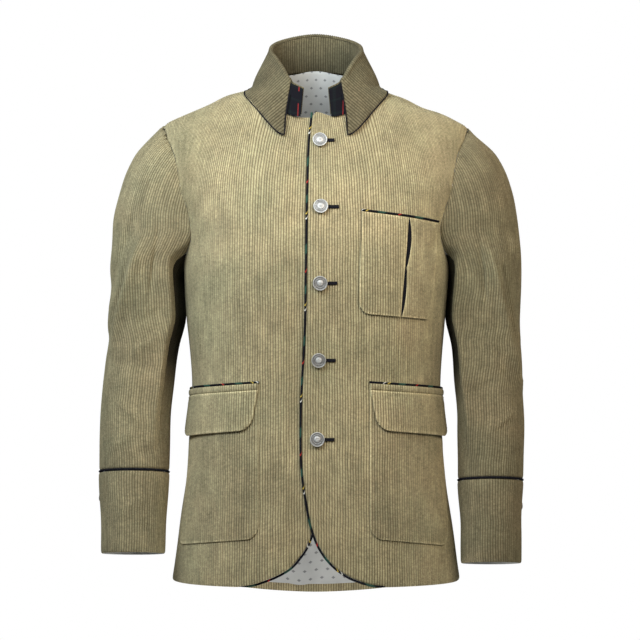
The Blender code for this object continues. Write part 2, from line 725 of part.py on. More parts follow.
def make_pockets():
    """Hip pockets with bag, welt, flap and piping, and the pleated chest pocket."""
    bag_lift = REST + CLOTH
    flap_lift = bag_lift + REST + CLOTH
    flap_top = HIP_TOP - HIP_WELT - SEAM
    for side, name in ((LEFT, "left"), (RIGHT, "right")):
        flip = side == RIGHT
        sheet("hip_pocket_" + name, 9, 11, hip_place(side, HIP_TOP - 4, HIP_BOTTOM, bag_lift, 0, 0),
              flip=flip)
        flap = hip_place(side, flap_top, flap_top - FLAP_DROP, flap_lift, 6, FLAP_FLARE)
        sheet("hip_flap_" + name, 5, 10, flap, flip=flip)
        sheet("hip_welt_" + name, 1, 8, welt_place(side, flap_lift), flip=flip)
        piping("hip_piping_" + name, hip_line(side))
    sheet("chest_pocket_inner", 7, 5, chest_place(False))
    sheet("chest_pocket_outer", 7, 5, chest_place(True))
    sheet("chest_pleat", 6, 2, pleat_place, "tartan", THIN)
    piping("chest_piping", chest_line())


def make_buttons():
    """The front buttons and their bound buttonholes."""
    for number, row in enumerate(BUTTONS, 1):
        sheet(f"buttonhole_{number}", 1, 3, hole_place(row), "tartan", THIN)
        out = torso_out(row.u, row.z, FRONT)
        at = on_torso(row.u, row.z, FRONT, REST + THIN + 2 * SEAM)
        button(f"button_{number}", at, out, BUTTON_RADIUS, 12)


def main():
    """Build every piece of the jacket."""
    clear_scene()
    bpy.context.scene.collection.children.link(PARTS)
    make_materials()
    make_body()
    make_sleeves()
    make_collar()
    make_pockets()
    make_buttons()


main()
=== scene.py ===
"""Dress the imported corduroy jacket: ribbed cloth shells, lining, piping, buttons and a plain studio.

Forms are worked out in millimetres, as the solids are, and become metres where a mesh is made. The
front faces -Y and the wearer's left is +X. Cloth is laid out by its wales: every shell has columns
along the ribs, so a rib is a true ridge in the mesh and its seams cut across it as shears would.
"""

import math
from collections import namedtuple
from functools import lru_cache

import bmesh
import bpy
import numpy as np
from bpy.props import FloatProperty, FloatVectorProperty, PointerProperty
from mathutils import Matrix, Vector


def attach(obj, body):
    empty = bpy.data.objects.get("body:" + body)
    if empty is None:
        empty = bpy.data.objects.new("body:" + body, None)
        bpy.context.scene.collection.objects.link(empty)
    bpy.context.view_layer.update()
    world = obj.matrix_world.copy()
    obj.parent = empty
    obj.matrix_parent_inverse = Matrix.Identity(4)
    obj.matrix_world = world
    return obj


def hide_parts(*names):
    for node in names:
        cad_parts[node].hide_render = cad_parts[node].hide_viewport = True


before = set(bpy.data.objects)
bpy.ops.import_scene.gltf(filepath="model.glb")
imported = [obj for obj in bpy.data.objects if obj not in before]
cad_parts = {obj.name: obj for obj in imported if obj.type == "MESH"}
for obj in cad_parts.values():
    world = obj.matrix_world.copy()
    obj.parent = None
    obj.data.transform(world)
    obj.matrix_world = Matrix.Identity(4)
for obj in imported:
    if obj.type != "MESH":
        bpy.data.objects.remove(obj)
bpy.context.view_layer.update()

bl_info = {
    "name": "Corduroy Jacket",
    "version": (1, 0, 0),
    "blender": (4, 5, 0),
    "location": "View3D > Sidebar > Jacket",
    "description": "Dresses the packed jacket in corduroy, lining, tartan piping and silver buttons",
    "category": "Object",
}

MM = 0.001
WALE_MAP = "Wale"           # UV map: wales across, and as long a unit along them
EDGE_HIGHLIGHT = "turned_edge"      # attribute: a painted highlight, 1 at the stitched edge of a pocket, 0 away from it
COLUMNS = 4                 # columns of points in one rib
PLAIN_PITCH = 12.0          # four columns of a cloth with no ribs
SHARP_CLOTH = math.radians(65)
SHARP_PIPING = math.radians(60)

# Sizes that the solids share
CLOTH = 2.2         # corduroy wall
THIN = 1.0          # lining, facings and buttonhole bindings
SEAM = 0.15         # gap where two dressed pieces meet
REST = 0.9          # gap under a piece that lies on a panel
CLOSE = 1.4         # wall of a pocket, which is sewn down flat
SIDE_Y = 8.0        # depth of the side seams and of the shoulder seams
UNDERARM = -275.0   # height of the lowest point of the armhole
TIP_X = 220.0       # outer end of the shoulder seam
TIP_Z = -68.0
RIGHT_RISE = 5.0    # how much higher the wearer's right shoulder sits between neck and tip
WIDEST = 1.25       # how much wider than its underarm a panel is cut at the shoulder, at most
NECK_X = 76.0       # half width of the neck at the shoulder seam
NECK_FRONT = -62.0  # height of the neckline at centre front and at centre back
NECK_BACK = 14.0
HEM_FRONT = -731.0
HEM_BACK = -764.0
NECK_CORNER = 7.0   # how much higher the corner of the upper front stands
CUTAWAY = -640.0    # height at which the front edges turn off towards the hem
LAP_STEP = 3.4      # how far the under front lies behind the upper one
PIPE = 1.6          # radius of the piping
EDGE_PIPE = 0.9     # radius of the fine piping under the collar
FORE_SEAM = math.radians(137)   # the two seams of a sleeve, counted from its outer line
HIND_SEAM = math.radians(125)
LEFT, RIGHT = 1, -1
FRONT, BACK = -1, 1
SIDES = ((LEFT, "left"), (RIGHT, "right"))
TIP_DROOP = {LEFT: 4.5, RIGHT: 1.5}     # how far the shoulder tips hang lower than the seam's line
FOLD_LINE = {LEFT: 0.86, RIGHT: 0.68}   # how far in the front fold of a sleeve lies, of its half width
CAP_TOP = -71.5
CAP_CLOSE = 3.0     # last rise of a sleeve, over the end of the shoulder seam
ELBOW = -443.0
CUFF_SEAM = {LEFT: -585.0, RIGHT: -573.0}
CUFF_END = {LEFT: -704.0, RIGHT: -690.0}
CUFF_TILT = 0.12    # how much the front of a cuff lies higher than its middle
FALL_START = 0.1    # the collar fall ends short of the front ends of the stand
FALL_HALF = 195.0   # way across the wales of the collar fall from its middle fold to centre back
FALL_TURN = 0.3     # share of the fall that goes over the roll
FACING_END = 0.166  # how far along the collar the dark facing of the stand reaches
FACING_WIDTH = 22.0
FACING_WALL = 0.8
LINING_HEM = 14.0   # how far the lining ends above the hem
LINING_SIDE = 16.0  # how far it ends short of the side seams
LINING_GAP = 3.6    # how far it hangs behind the back's wall
BUTTON_RADIUS = 10.5
CUFF_BUTTON_RADIUS = 6.0
CUFF_BUTTON_DROP = 36.0
CUFF_BUTTON_ANGLE = math.radians(-14)
HOLE_HEIGHT = 4.6
HOLE_START = 4.0    # how far a buttonhole begins before its button's middle
HIP_TOP = -441.0
HIP_SLOPE = 12.0
HIP_WELT = 11.0
HIP_BOTTOM = -664.0
HIP_MARGIN = 6.0    # how far the hip pockets stay from the side seams
HIP_INNER = {LEFT: 77.0, RIGHT: 82.0}
HIP_CORNER = 20.0
HIP_DRAW = {LEFT: 56.0, RIGHT: 34.0}    # how far a bag's foot draws away from the side seam
FLAP_DROP = 59.0
FLAP_FLARE = 5.0
FLAP_TAPER = 11.0
FLAP_CORNER = 12.0
FLAP_CORNER_RISE = 9.0
CHEST_TOP = -200.0
CHEST_SLOPE = 14.0
CHEST_BOTTOM = -344.0
CHEST_INNER = 66.0
CHEST_OUTER = 196.0
CHEST_TAPER = 13.0
CHEST_SLIT = 136.0
SLIT_WIDTH = 5.0    # of the gap that the chest pocket's pleat leaves
SLIT_UPPER = 0.62   # shares of it that the upper and the lower half of the gap open
SLIT_LOWER = 0.48
SLIT_TACK = 0.9     # what the gap keeps on each side at its middle, where the pleat is tacked
PLEAT_TUCK = 5.0    # how far the pleat's underlay reaches behind each half
SLEEVE_HEAD = 2.2   # how full the top of a sleeve stands over the seam
CAP_ROWS = np.array((0.3, 0.6, 0.85, 0.985))
SLEEVE_SEAM = 0.3
SLEEVE_DRAW = 24.0  # how near to the armhole a sleeve is drawn onto it
CHEST_CORNER = 18.0

Ring = namedtuple("Ring", "z half_width front back power")
TORSO = [
    Ring(-770, 215, -142, 149, 2.3),
    Ring(-655, 199.5, -138, 141, 2.3),
    Ring(-555, 185.5, -133, 130, 2.3),
    Ring(-445, 181, -127, 121, 2.3),
    Ring(-345, 189, -135, 131, 2.35),
    Ring(-275, 193, -139, 142, 2.4),
    Ring(-240, 194, -136, 145, 2.4),
    Ring(-199, 206, -128, 145, 2.4),
    Ring(-164, 221, -117, 143, 2.4),
    Ring(-113, 227, -100, 135, 2.4),
    Ring(-68, 220, -84, 122, 2.35),
    Ring(-41, 152, -75, 108, 2.2),
    Ring(-31, 131, -72.5, 103, 2.15),
    Ring(-21, 105, -69.5, 98, 2.1),
    Ring(-10, 87, -66, 92, 2.05),
    Ring(0, 76, -62, 87, 2.0),
    Ring(16, 60, -56, 80, 2.0),
]
Hole = namedtuple("Hole", "z reach")
ARMHOLE = [
    Hole(-275, 0), Hole(-271, 26), Hole(-262, 43), Hole(-240, 66), Hole(-199, 75),
    Hole(-164, 72), Hole(-113, 57), Hole(-90, 41), Hole(-76, 24), Hole(-68, 0),
]
Edge = namedtuple("Edge", "z u")
FRONT_EDGE = {
    LEFT: [
        Edge(-731, 106), Edge(-728, 87), Edge(-721, 61), Edge(-708, 36), Edge(-693, 19),
        Edge(-678, 8), Edge(-650, -4), Edge(-607, -13), Edge(-572, -18), Edge(-522, -20),
        Edge(-438, -18), Edge(-391, -15), Edge(-254, -12), Edge(-165, -11), Edge(-86, -9),
        Edge(-60, -6),
    ],
    RIGHT: [
        Edge(-731, 116), Edge(-728, 98), Edge(-720, 71), Edge(-708, 45), Edge(-686, 22),
        Edge(-652, 5), Edge(-607, -8), Edge(-540, -14), Edge(-60, -14),
    ],
}
Arm = namedtuple("Arm", "z outer inner centre_y half_depth")
ARM = {
    LEFT: [
        Arm(-709, 296, 210, -46, 50), Arm(-653, 296, 210, -38, 52), Arm(-585, 300, 206, -26, 55),
        Arm(-500, 303, 206, -10, 59), Arm(-443, 301, 202, 0, 62), Arm(-391, 300, 198, 6, 64),
        Arm(-345, 301, 189.3, 8, 67), Arm(-275, 300, 194, 8, 71), Arm(-240, 298, 0, 8, 74),
        Arm(-199, 293, 0, 8, 77.5), Arm(-164, 286, 0, 8, 74.5), Arm(-128, 273, 0, 8, 66),
        Arm(-110, 262, 0, 8, 58), Arm(-93, 246, 0, 8, 46), Arm(-78, 231, 0, 8, 29),
        Arm(-71, 225, 0, 8, 16),
    ],
    RIGHT: [
        Arm(-695, 309, 219, -46, 50), Arm(-640, 310, 217, -38, 52), Arm(-573, 314, 213, -26, 55),
        Arm(-500, 314, 212, -10, 59), Arm(-443, 310, 207, 0, 62), Arm(-391, 305, 200, 6, 64),
        Arm(-345, 304, 189.8, 8, 67), Arm(-275, 301, 194, 8, 71), Arm(-240, 298, 0, 8, 74),
        Arm(-199, 295, 0, 8, 77.5), Arm(-164, 286, 0, 8, 74.5), Arm(-128, 273, 0, 8, 66),
        Arm(-110, 263, 0, 8, 58), Arm(-93, 248, 0, 8, 46), Arm(-78, 234, 0, 8, 29),
        Arm(-71, 227, 0, 8, 16),
    ],
}
Station = namedtuple("Station", "z base_x base_y base_z roll_x roll_y roll_z edge_x edge_y edge_z")
COLLAR = [          # z counts from the front end of the collar, 0, to centre back, 1
    Station(0.00, 21, -82, -59, 18, -68, -17, 32, -96, -82),
    Station(0.10, 33, -80, -57, 35, -60, -8, 46, -95, -87),
    Station(0.28, 56, -68, -40, 49, -39, 13, 79, -75, -57),
    Station(0.38, 67, -37, -18, 58, -17, 28, 95.5, -34, -37),
    Station(0.50, 74, 8, 4, 66, 10, 41, 94, 10, -15),
    Station(0.74, 53, 60, 10, 54, 61, 59, 81, 84, -10),
    Station(1.00, 0, 81, 17, 0, 88, 71.5, 0, 110, 0),
]
ROLL = np.array([(-3.4, -1.5), (-2.6, 1.0), (0.0, 2.2), (3.0, 0.6), (4.4, -5.0)])   # out and up
Button = namedtuple("Button", "u z hole_end")
BUTTONS = [
    Button(6.5, -97, 30), Button(7, -193, 33), Button(6, -301, 30),
    Button(4, -410, 28), Button(2, -522, 26),
]
Step = namedtuple("Step", "inset rise")
BUTTON_STEPS = [    # of a button's face from its rim inwards, on a radius of 1
    Step(0.1, 0.0), Step(0.04, -0.07), Step(0.15, 0.0), Step(0.03, 0.05), Step(0.05, 0.0),
    Step(0.03, -0.05), Step(0.1, 0.0), Step(0.04, 0.06), Step(0.1, 0.025),
]
BEADS = 16
PETALS = 6

# Folds of the sleeves, as lines seen from the front or the back: the solids' own, then finer ones
Fold = namedtuple("Fold", "x0 z0 x1 z1 spread rise face")
FOLDS = [
    Fold(-246, -225, -296, -370, 15, 5.0, FRONT),
    Fold(-268, -215, -312, -330, 14, -6.0, FRONT),
    Fold(262, -265, 292, -420, 15, 4.5, FRONT),
    Fold(285, -240, 304, -380, 14, -5.5, FRONT),
    Fold(-235, -300, -300, -420, 20, 4.5, BACK),
    Fold(240, -290, 295, -430, 20, 4.5, BACK),
]
FINE_FOLDS = [
    Fold(-256, -242, -297, -396, 8, 3.2, FRONT),
    Fold(-274, -262, -308, -396, 7, -3.0, FRONT),
    Fold(252, -255, 280, -384, 8, 3.0, FRONT),
    Fold(280, -384, 299, -452, 8, 3.0, FRONT),
    Fold(268, -262, 296, -392, 7, -2.8, FRONT),
    Fold(284, -232, 291, -262, 5, 2.0, FRONT),
    Fold(-228, -222, -240, -318, 6, -1.8, FRONT),
    Fold(-222, -338, -262, -356, 7, -1.6, FRONT),
    Fold(-220, -372, -266, -398, 8, 1.5, FRONT),
    Fold(-228, -432, -288, -412, 9, -1.5, FRONT),
    Fold(-292, -468, -252, -503, 7, 1.4, FRONT),
    Fold(-262, -516, -300, -546, 6, 1.3, FRONT),
    Fold(-230, -540, -272, -558, 5, -1.2, FRONT),
    Fold(-244, -610, -288, -640, 6, 1.2, FRONT),
    Fold(-236, -660, -272, -646, 6, -1.0, FRONT),
    Fold(236, -238, 246, -330, 6, -1.8, FRONT),
    Fold(216, -346, 254, -372, 8, -1.5, FRONT),
    Fold(222, -402, 270, -420, 9, 1.4, FRONT),
    Fold(218, -462, 262, -440, 8, -1.3, FRONT),
    Fold(286, -488, 246, -520, 7, 1.2, FRONT),
    Fold(228, -548, 276, -566, 6, -1.1, FRONT),
    Fold(240, -634, 280, -652, 7, 0.9, FRONT),
    Fold(-232, -262, -288, -330, 9, -2.2, BACK),
    Fold(-228, -372, -292, -462, 8, -1.8, BACK),
    Fold(-236, -470, -286, -500, 7, 1.5, BACK),
    Fold(236, -252, 286, -322, 9, -2.2, BACK),
    Fold(230, -380, 288, -470, 8, -1.8, BACK),
    Fold(240, -486, 282, -520, 7, 1.4, BACK),
]
# Creases of the body along its cloth: across from the middle of a face, and in height
Crease = namedtuple("Crease", "u0 z0 u1 z1 width rise")
CREASES = {
    FRONT: [
        Crease(-206, -250, -144, -216, 10, -2.6),
        Crease(-212, -284, -160, -262, 9, 1.8),
        Crease(-186, -322, -168, -424, 13, -1.8),
        Crease(-124, -326, -121, -440, 1.7, -1.0),
        Crease(-172, -550, -126, -563, 4, 1.1),
        Crease(-150, -592, -112, -574, 6, -0.9),
        Crease(-178, -702, -166, -731, 8, 1.6),
        Crease(-62, -92, -44, -150, 7, -0.9),
        Crease(218, -204, 166, -268, 9, -2.2),
        Crease(216, -262, 178, -322, 10, 1.5),
        Crease(196, -330, 182, -420, 12, -1.8),
        Crease(122, -354, 120, -440, 1.7, -1.0),
        Crease(52, -424, 96, -404, 8, -0.8),
        Crease(128, -592, 166, -614, 8, 0.9),
        Crease(214, -672, 221, -731, 1.7, -1.3),
        Crease(40, -556, 62, -640, 9, 0.9),
        Crease(30, -118, 42, -176, 6, -0.7),
    ],
    BACK: [
        Crease(-216, -236, -120, -214, 11, -2.6),
        Crease(216, -240, 126, -212, 11, -2.6),
        Crease(-206, -284, -134, -268, 10, 1.9),
        Crease(204, -290, 128, -272, 10, 1.8),
        Crease(-150, -436, -52, -452, 12, -1.8),
        Crease(140, -430, 40, -462, 12, -1.6),
        Crease(-120, -60, -66, -84, 9, -1.0),
        Crease(124, -64, 70, -88, 9, -1.0),
        Crease(-84, -600, -74, -730, 14, 1.5),
        Crease(96, -590, 104, -730, 14, 1.4),
    ],
}


def smooth(rows, column):
    """A smooth curve through one column of a table, as a function of its z column."""
    z = np.array([row.z for row in rows], float)
    value = np.array([getattr(row, column) for row in rows], float)
    step = np.diff(z)
    slope = np.diff(value) / step
    inner = (slope[:-1] * step[1:] + slope[1:] * step[:-1]) / (step[:-1] + step[1:])
    inner = np.where(slope[:-1] * slope[1:] <= 0, 0, inner)
    limit = 3 * np.minimum(np.abs(slope[:-1]), np.abs(slope[1:]))
    tangent = np.concatenate([slope[:1], np.clip(inner, -limit, limit), slope[-1:]])

    def at(height):
        height = np.clip(height, z[0], z[-1])
        i = np.clip(np.searchsorted(z, height, side="right") - 1, 0, len(step) - 1)
        f = (height - z[i]) / step[i]
        ends = value[i] * (1 + 2 * f) * (1 - f) ** 2 + value[i + 1] * f * f * (3 - 2 * f)
        bends = tangent[i] * f * (1 - f) ** 2 - tangent[i + 1] * f * f * (1 - f)
        return ends + bends * step[i]

    return at


def ease(f):
    """0 to 1 with level ends."""
    f = np.clip(f, 0.0, 1.0)
    return f * f * (3 - 2 * f)


def points(x, y, z):
    """Points from their three coordinates."""
    return np.stack(np.broadcast_arrays(x, y, z), -1).astype(float)


def unit(vectors):
    """Vectors of length 1."""
    return vectors / np.maximum(np.linalg.norm(vectors, axis=-1, keepdims=True), 1e-9)


def lifted(lift):
    """Lifts that can be multiplied with vectors."""
    return np.asarray(lift, float)[..., None]


def run(line):
    """The way along a line of points, from its start to each of them."""
    return np.concatenate([[0], np.cumsum(np.linalg.norm(np.diff(line, axis=0), axis=1))])


half_width = smooth(TORSO, "half_width")
front_y = smooth(TORSO, "front")
back_y = smooth(TORSO, "back")
power = smooth(TORSO, "power")
reach = smooth(ARMHOLE, "reach")
edge_u = {side: smooth(rows, "u") for side, rows in FRONT_EDGE.items()}
arm = {side: {column: smooth(rows, column) for column in Arm._fields[1:]} for side, rows in ARM.items()}
WHOLE_COLLAR = COLLAR + [
    row._replace(z=2 - row.z, base_x=-row.base_x, roll_x=-row.roll_x, edge_x=-row.edge_x)
    for row in reversed(COLLAR[:-1])
]
collar = {column: smooth(WHOLE_COLLAR, column) for column in Station._fields[1:]}
SHOULDER_Z = np.linspace(0, TIP_Z, 800)
SHOULDER_X = half_width(SHOULDER_Z)
RING_Z = np.arange(-776.0, UNDERARM + 0.5)
SHARES = np.linspace(0, 1, 241)


def depth(z, face):
    """How far the front or the back of the body stands from the side seams."""
    return SIDE_Y - front_y(z) if face == FRONT else back_y(z) - SIDE_Y


def bow(ratio, z):
    """The rounded outline of a body section: 1 in its middle, 0 at its side."""
    return np.maximum(1 - np.abs(ratio) ** power(z), 0.0) ** (1 / power(z))


def ring_table(face):
    """Body sections below the underarm, at even shares of the way to the side, and their lengths."""
    bend = 2 / power(RING_Z)[:, None]
    q = np.linspace(0, math.pi / 2, 181)
    x = half_width(RING_Z)[:, None] * np.sin(q) ** bend
    y = SIDE_Y + face * depth(RING_Z, face)[:, None] * np.abs(np.cos(q)) ** bend
    steps = np.hypot(np.diff(x, axis=1), np.diff(y, axis=1))
    way = np.concatenate([np.zeros((len(x), 1)), np.cumsum(steps, axis=1)], axis=1)
    even_x = np.stack([np.interp(SHARES * w[-1], w, row) for w, row in zip(way, x)])
    even_y = np.stack([np.interp(SHARES * w[-1], w, row) for w, row in zip(way, y)])
    return even_x, even_y, way[:, -1]


RINGS = {face: ring_table(face) for face in (FRONT, BACK)}


def look_up(table, row, column):
    """Values between the entries of a table."""
    i = np.clip(np.asarray(row).astype(int), 0, table.shape[0] - 2)
    j = np.clip(np.asarray(column).astype(int), 0, table.shape[1] - 2)
    f, g = row - i, column - j
    low = table[i, j] * (1 - g) + table[i, j + 1] * g
    high = table[i + 1, j] * (1 - g) + table[i + 1, j + 1] * g
    return low * (1 - f) + high * f


def top_z(x, face):
    """Height of the upper edge of a panel: the neckline, then the shoulder seam."""
    share = np.minimum(x / NECK_X, 1.0)
    neck = NECK_FRONT * (1 - share ** 4) if face == FRONT else NECK_BACK * (1 - share ** 2)
    return np.where(x < NECK_X, neck, np.interp(x, SHOULDER_X, SHOULDER_Z))


def panel_end(z, face):
    """The way along a section from the middle to the side seam."""
    return np.interp(np.minimum(z, UNDERARM), RING_Z, RINGS[face][2])


def torso(u, z, face):
    """Points of the body at the distance u along it from the middle of a face, at height z."""
    u, z = np.broadcast_arrays(np.asarray(u, float), np.asarray(z, float))
    row = np.clip(z, RING_Z[0], UNDERARM) - RING_Z[0]
    column = np.clip(np.abs(u) / panel_end(z, face), 0, 1) * (len(SHARES) - 1)
    shoulder_x = TIP_X * np.abs(u) / panel_end(UNDERARM, face)
    rise = np.clip((z - UNDERARM) / (top_z(shoulder_x, face) - UNDERARM), 0, 1)
    x = look_up(RINGS[face][0], row, column)
    x = x + (shoulder_x - x) * rise ** 3
    above = SIDE_Y + face * depth(z, face) * bow(x / half_width(z), z)
    y = np.where(z > UNDERARM, above, look_up(RINGS[face][1], row, column))
    # The right shoulder is raised between neck and tip, and both tips droop
    hump = np.sin(np.pi * np.clip((x - 75) / 140, 0, 1)) ** 2
    raised = np.where(u < 0, RIGHT_RISE * ease((z + 115) / 70) * hump, 0.0)
    droop = np.where(u < 0, TIP_DROOP[RIGHT], TIP_DROOP[LEFT])
    droop = droop * ease((x - 170) / 45) * ease((z + 110) / 40)
    return points(np.copysign(x, u), y, z + raised - droop)


def body_out(u, z, face):
    """The direction straight out of the body."""
    end = panel_end(z, face) * np.where(np.asarray(z) > UNDERARM, WIDEST, 1.0)
    along = torso(np.minimum(u + 1, end), z, face) - torso(np.maximum(u - 1, -end), z, face)
    up = torso(u, z + 1, face) - torso(u, z - 1, face)
    return unit(-face * np.cross(along, up))


def crease_rise(rows, u, z):
    """How far creases move the cloth out, over slow waves that go all over it.

    They are deepest in their middle and fade to their ends.
    """
    total = 0.5 * np.sin(u / 31 + z / 47) * np.sin(z / 39 - u / 67) + 0.3 * np.sin(u / 13 - z / 21)
    for row in rows:
        across, up = row.u1 - row.u0, row.z1 - row.z0
        share = ((u - row.u0) * across + (z - row.z0) * up) / (across ** 2 + up ** 2)
        near = np.clip(share, 0, 1)
        gap = np.hypot(u - row.u0 - near * across, z - row.z0 - near * up) / row.width
        total = total + row.rise * (0.3 + 0.7 * np.sin(np.pi * near)) * np.exp(-gap * gap)
    return total


def body(u, z, face, lift):
    """Points at a height over the creased body."""
    rise = lift + crease_rise(CREASES[face], u, z) * bpy.context.scene.jacket_cloth.crease
    return torso(u, z, face) + body_out(u, z, face) * lifted(rise)


def hem_z(u, face):
    """Height of the hem: level in front, lower towards centre back."""
    if face == FRONT:
        return np.full_like(np.asarray(u, float), HEM_FRONT)
    share = np.minimum(np.abs(u) / panel_end(HEM_BACK, BACK), 1.0)
    return HEM_FRONT + (HEM_BACK - HEM_FRONT) * np.cos(share * math.pi / 2) ** 1.5


def body_row(u, t, low, face):
    """Height of row t of a panel: 0 at its lower edge, 1 at the underarm, 2 at its upper edge."""
    top = top_z(TIP_X * np.abs(u) / panel_end(UNDERARM, face), face)
    return low + (UNDERARM - low) * t if t <= 1 else UNDERARM + (top - UNDERARM) * (t - 1)


@lru_cache(maxsize=None)
def body_end(t, face):
    """Where row t ends: at the side seam, or on the armhole above it."""
    if t <= 1:
        return float(panel_end(HEM_FRONT + (UNDERARM - HEM_FRONT) * t, face)) - SEAM
    end = float(panel_end(UNDERARM, face))
    if t == 2:
        return end - SEAM
    low, high = 0.3 * end, WIDEST * end
    for _ in range(30):
        middle = (low + high) / 2
        z = float(body_row(middle, t, HEM_FRONT, face))
        if abs(torso(middle, z, face)[1] - SIDE_Y) > reach(z):
            low = middle
        else:
            high = middle
    return low - SEAM


def hole_x(z, face):
    """Where the armhole lies at height z."""
    return half_width(z) * bow(reach(z) / depth(z, face), z)


def sleeve_ring(side, z):
    """A sleeve section: its middle, half width, half depth, lean and the angle where it ends."""
    outer, inner = arm[side]["outer"](z), arm[side]["inner"](np.minimum(z, UNDERARM))
    below = np.asarray(z) <= UNDERARM
    hole = np.maximum(reach(z), 0.1)
    deep = np.where(below, arm[side]["half_depth"](z), np.maximum(arm[side]["half_depth"](z), 1.02 * hole))
    front, back = hole_x(z, FRONT), hole_x(z, BACK)
    end = np.where(below, math.pi, math.pi - np.arcsin(np.minimum(hole / deep, 1.0)))
    tube, cap = (outer - inner) / 2, (outer - (front + back) / 2) / (1 - np.cos(end))
    wide = tube + (cap - tube) * ease((z - UNDERARM) / 30)
    lean = np.where(below, 0.0, (back - front) / (2 * hole))
    return outer - wide, wide, deep, lean, end


def fold_rise(x, z, facing):
    """How far the folds of the sleeves move the cloth out. They are steeper on their outer side."""
    total = 0.4 * np.sin(x / 17 + z / 29) * np.sin(z / 23 + facing * 2)
    finer = bpy.context.scene.jacket_cloth.crease
    for rows, share in ((FOLDS, 1.0), (FINE_FOLDS, 1.7 * finer)):
        for fold in rows:
            across, up = fold.x1 - fold.x0, fold.z1 - fold.z0
            near = ((x - fold.x0) * across + (z - fold.z0) * up) / (across ** 2 + up ** 2)
            near = np.clip(near, 0, 1)
            aside = x - fold.x0 - near * across
            steep = np.where(aside * x > 0, 0.4, 1.0)
            gap = np.hypot(aside, z - fold.z0 - near * up) / (fold.spread * steep)
            fade = ease(0.35 + 3 * near) * ease(3.35 - 3 * near)
            fade = fade * ease(0.55 + fold.face * facing)
            total = total + share * fold.rise * fade * np.exp(-gap * gap)
    return total


def sleeve(side, angle, z, lift):
    """Points of a sleeve at an angle from its outer line, counted towards the front."""
    middle, wide, deep, lean, _ = sleeve_ring(side, z)
    ahead, inward, share = np.sin(angle), -np.cos(angle), FOLD_LINE[side]
    # A fold runs down the front of the inner side, as a soft corner between the face and the flat inner side
    flat = np.maximum(inward + (1 - share) / 0.97 * ahead, 1e-3)
    face = np.maximum(ahead + 0.03 / share * inward, 1e-3)
    cornered = (flat ** 34 + face ** 34) ** (-1 / 34)
    cornered = np.where((ahead > 0) & (inward > 0), np.minimum(cornered, 1.3), 1.0)
    full = 1 + (cornered - 1) * ease((UNDERARM + 58 - z) / 54) * ease((z + 580) / 150)
    y = -deep * ahead * full
    x = middle - wide * inward * full + lean * y
    lift = lift + fold_rise(side * x, z, -np.sin(angle))
    tilt = CUFF_TILT * ease((ELBOW - z) / 130)
    y_out = arm[side]["centre_y"](z) + y - lift * np.sin(angle)
    droop = TIP_DROOP[side] * ease((z + 110) / 40)
    return points(side * (x + lift * np.cos(angle)), y_out, z - tilt * y - droop)


def sleeve_way(side, z, zero):
    """Angles all round a sleeve section and the way along it, both counted from the angle zero."""
    angle = zero + np.linspace(-math.pi, math.pi, 361)
    line = sleeve(side, angle, np.full_like(angle, z), 0.0)
    way = run(line)
    return angle, way - way[180]


def sleeve_angles(side, zero):
    """A function that gives the angle at a way along the section at any height of a sleeve."""
    heights = np.arange(CUFF_END[side] - 6, CAP_TOP + 3, 1.5)
    ways = np.arange(-210.0, 211.0)
    table = np.stack([np.interp(ways, *reversed(sleeve_way(side, z, zero))) for z in heights])

    def at(way, z):
        return look_up(table, (z - heights[0]) / 1.5, way - ways[0])

    return at


def under_sleeve_top(side, angle):
    """Height at which the under sleeve meets the armhole."""
    angle = np.minimum(angle, 2 * math.pi - angle)
    low, high = np.full_like(angle, UNDERARM), np.full_like(angle, -205.0)
    for _ in range(30):
        middle = (low + high) / 2
        inside = sleeve_ring(side, middle)[4] > angle
        low, high = np.where(inside, middle, low), np.where(inside, high, middle)
    return low


def armhole_line(face):
    """Heights of the armhole edge of a panel, and the way along the panel to it."""
    rows = 1 + np.linspace(0, 1, 80) ** 1.5
    ends = np.array([body_end(float(t), face) + SEAM for t in rows])
    return np.array([float(body_row(u, t, HEM_FRONT, face)) for u, t in zip(ends, rows)]), ends


ARMHOLE_LINES = {face: armhole_line(face) for face in (FRONT, BACK)}
TIP_HEIGHTS = np.linspace(-90, TIP_Z, 60)


def armhole_point(side, z, facing, lift=0.0):
    """Points on the armhole edge, of the front where facing is below 0 and of the back elsewhere."""
    ahead, behind = [body(side * np.interp(z, *ARMHOLE_LINES[face]), z, face, lift)
                     for face in (FRONT, BACK)]
    return np.where(lifted(facing) < 0, ahead, behind)


def armhole_shift(side, angle, z):
    """What moves the points of a sleeve near the armhole onto the edge of the panel there."""
    angle, z = np.broadcast_arrays(np.asarray(angle, float), np.asarray(z, float))
    if z.max() < UNDERARM - SLEEVE_DRAW:
        return 0.0
    angle = (angle + math.pi) % (2 * math.pi) - math.pi
    _, _, deep, _, end = sleeve_ring(side, z)
    across = np.where(z > UNDERARM, (end - np.abs(angle)) * deep, 1e3)
    top = under_sleeve_top(side, np.abs(angle))
    up = np.where(np.abs(angle) > 1.87, top - z, 1e3)
    edge = np.maximum(np.where(up < across, top, z), UNDERARM + 0.2)
    turn = np.where(angle < 0, -1.0, 1.0)
    shift = armhole_point(side, edge, -turn) - sleeve(side, turn * sleeve_ring(side, edge)[4], edge, 0.0)
    return shift * lifted(ease(1 - np.maximum(np.minimum(up, across), 0) / SLEEVE_DRAW))


def sewn_sleeve(side, angle, z, lift):
    """Points of a sleeve, with its upper end drawn onto the armhole."""
    return sleeve(side, angle, z, lift) + armhole_shift(side, angle, z)


def collar_at(line, c):
    """Points on the base, roll or edge line of the collar."""
    return points(*[collar[line + axis](c) for axis in ("_x", "_y", "_z")])


def collar_out(c):
    """The level direction straight out of the collar."""
    along = collar_at("roll", np.minimum(c + 0.02, 2)) - collar_at("roll", np.maximum(c - 0.02, 0))
    return unit(points(along[..., 1], -along[..., 0], 0.0))


